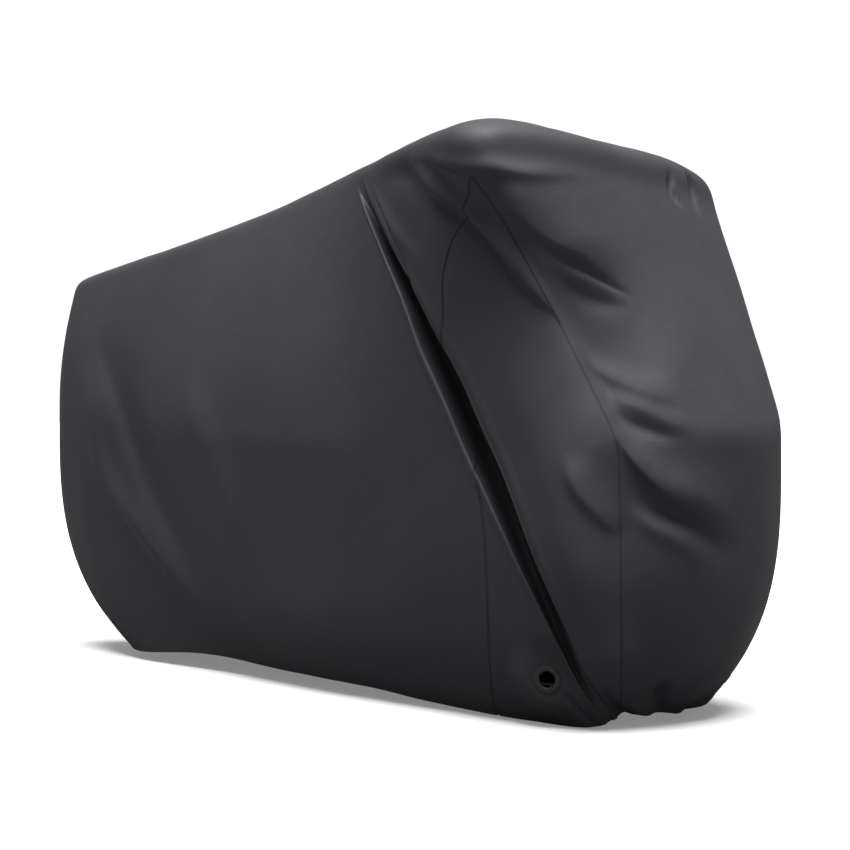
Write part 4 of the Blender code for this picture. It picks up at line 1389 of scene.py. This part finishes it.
def dress(piece: bpy.types.Object, finish: bpy.types.Material, slot: str, *nodes: str) -> None:
    """Gives a piece its material and its body, and hides the nodes that it stands for. The slot is not used.
    """
    piece.data.materials.append(finish)
    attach(piece, BODY)
    if nodes:
        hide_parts(*nodes)


FINE_LOW = (
    (0.022, 0.0031), (0.240, 0.0020), (0.390, 0.0031), (0.440, 0.0020), (0.530, 0.0030), (0.585, 0.0018),
    (APEX.height, 0.0018),
)
FINE_HIGH = ((APEX.height, 0.0018), (0.800, 0.0028), (1.000, 0.0028))
PLAIN_LOW = ((0.022, 0.0054), (APEX.height, 0.0054))
PLAIN_HIGH = ((APEX.height, 0.0054), (1.000, 0.0054))
GORE_STEPS_END = (APEX.height - 0.002, 1.0)
GORE_COUNTS = {False: (36, 76, 50), True: (14, 30, 24)}


@dataclass(frozen=True)
class MainPlan:
    """One piece of the main cloth: its side, the columns of its strips, and its flat size."""

    name: str
    far: bool
    counts: dict[StripKind, tuple[int, int, int]]
    flat: tuple[float, float]


MAIN_PLANS = (
    MainPlan("main_cloth_right_rear", False, {StripKind.REAR: (60, 30, 40)}, (1.1, 1.3)),
    MainPlan("main_cloth_right_middle", False, {StripKind.FOLD: (52, 90, 56)}, (0.8, 1.3)),
    MainPlan("main_cloth_right_front", False, {StripKind.FRONT: (4, 70, 90)}, (0.5, 1.3)),
    MainPlan(
        "main_cloth_left",
        True,
        {StripKind.REAR: (40, 24, 30), StripKind.FOLD: (30, 24, 34), StripKind.FRONT: (4, 24, 40)},
        (2.2, 1.3),
    ),
)


def build_cloth(
    cutter: SheetCutter, cloth: bpy.types.Material, thread: bpy.types.Material, plastic: bpy.types.Material
) -> None:
    """Builds and dresses every piece of cloth, ring and stitching on both sides.

    Args:
        cutter: Cuts the cloth.
        cloth: The cloth's material.
        thread: The stitches' material.
        plastic: The rings' material.
    """
    form = cutter.form
    for plan in MAIN_PLANS:
        strips = tuple(Strip(form, kind, counts) for kind, counts in plan.counts.items())
        low, high = (PLAIN_LOW, PLAIN_HIGH) if plan.far else (FINE_LOW, FINE_HIGH)
        piece = ClothPiece(plan.name, cutter, plan.far, strips, low, high).build()
        dress(piece, cloth, CLOTH_SLOT, "cover_body")
    for far, side in ((False, "right"), (True, "left")):
        strips = (Strip(form, StripKind.GORE, GORE_COUNTS[far]),)
        low = (*(PLAIN_LOW if far else FINE_LOW)[:-1], GORE_STEPS_END)
        gore = ClothPiece(f"gore_cloth_{side}", cutter, far, strips, low, PLAIN_HIGH).build()
        ring = EyeletRing(f"eyelet_ring_{side}", form.eyelets[int(far)]).build()
        stitches = Stitching(cutter, far).build()
        dress(gore, cloth, CLOTH_SLOT, f"gore_{side}")
        dress(ring, plastic, EYELET_SLOT, f"eyelet_{side}")
        dress(stitches, thread, CLOTH_SLOT)


def main() -> None:
    """Builds the cover and its surroundings."""
    logging.basicConfig(level=logging.INFO, format="%(name)s: %(message)s")
    bpy.context.scene.view_settings.view_transform = "Standard"
    form = DrapedForm()
    cutter = SheetCutter(form)
    mottle, weave = mottle_group(), weave_group()
    cloth = CoatedCloth().make_woven(mottle, weave)
    thread = PlainFinish("black_thread", (0.012, 0.012, 0.013), roughness=0.6, size=0.004, amount=0.3)
    plastic = PlainFinish("black_plastic", (0.02, 0.02, 0.022), roughness=0.42, size=0.006, amount=0.15)
    build_cloth(cutter, cloth, thread.make(mottle), plastic.make(mottle))
    Studio().build()


if __name__ == "__main__":
    main()
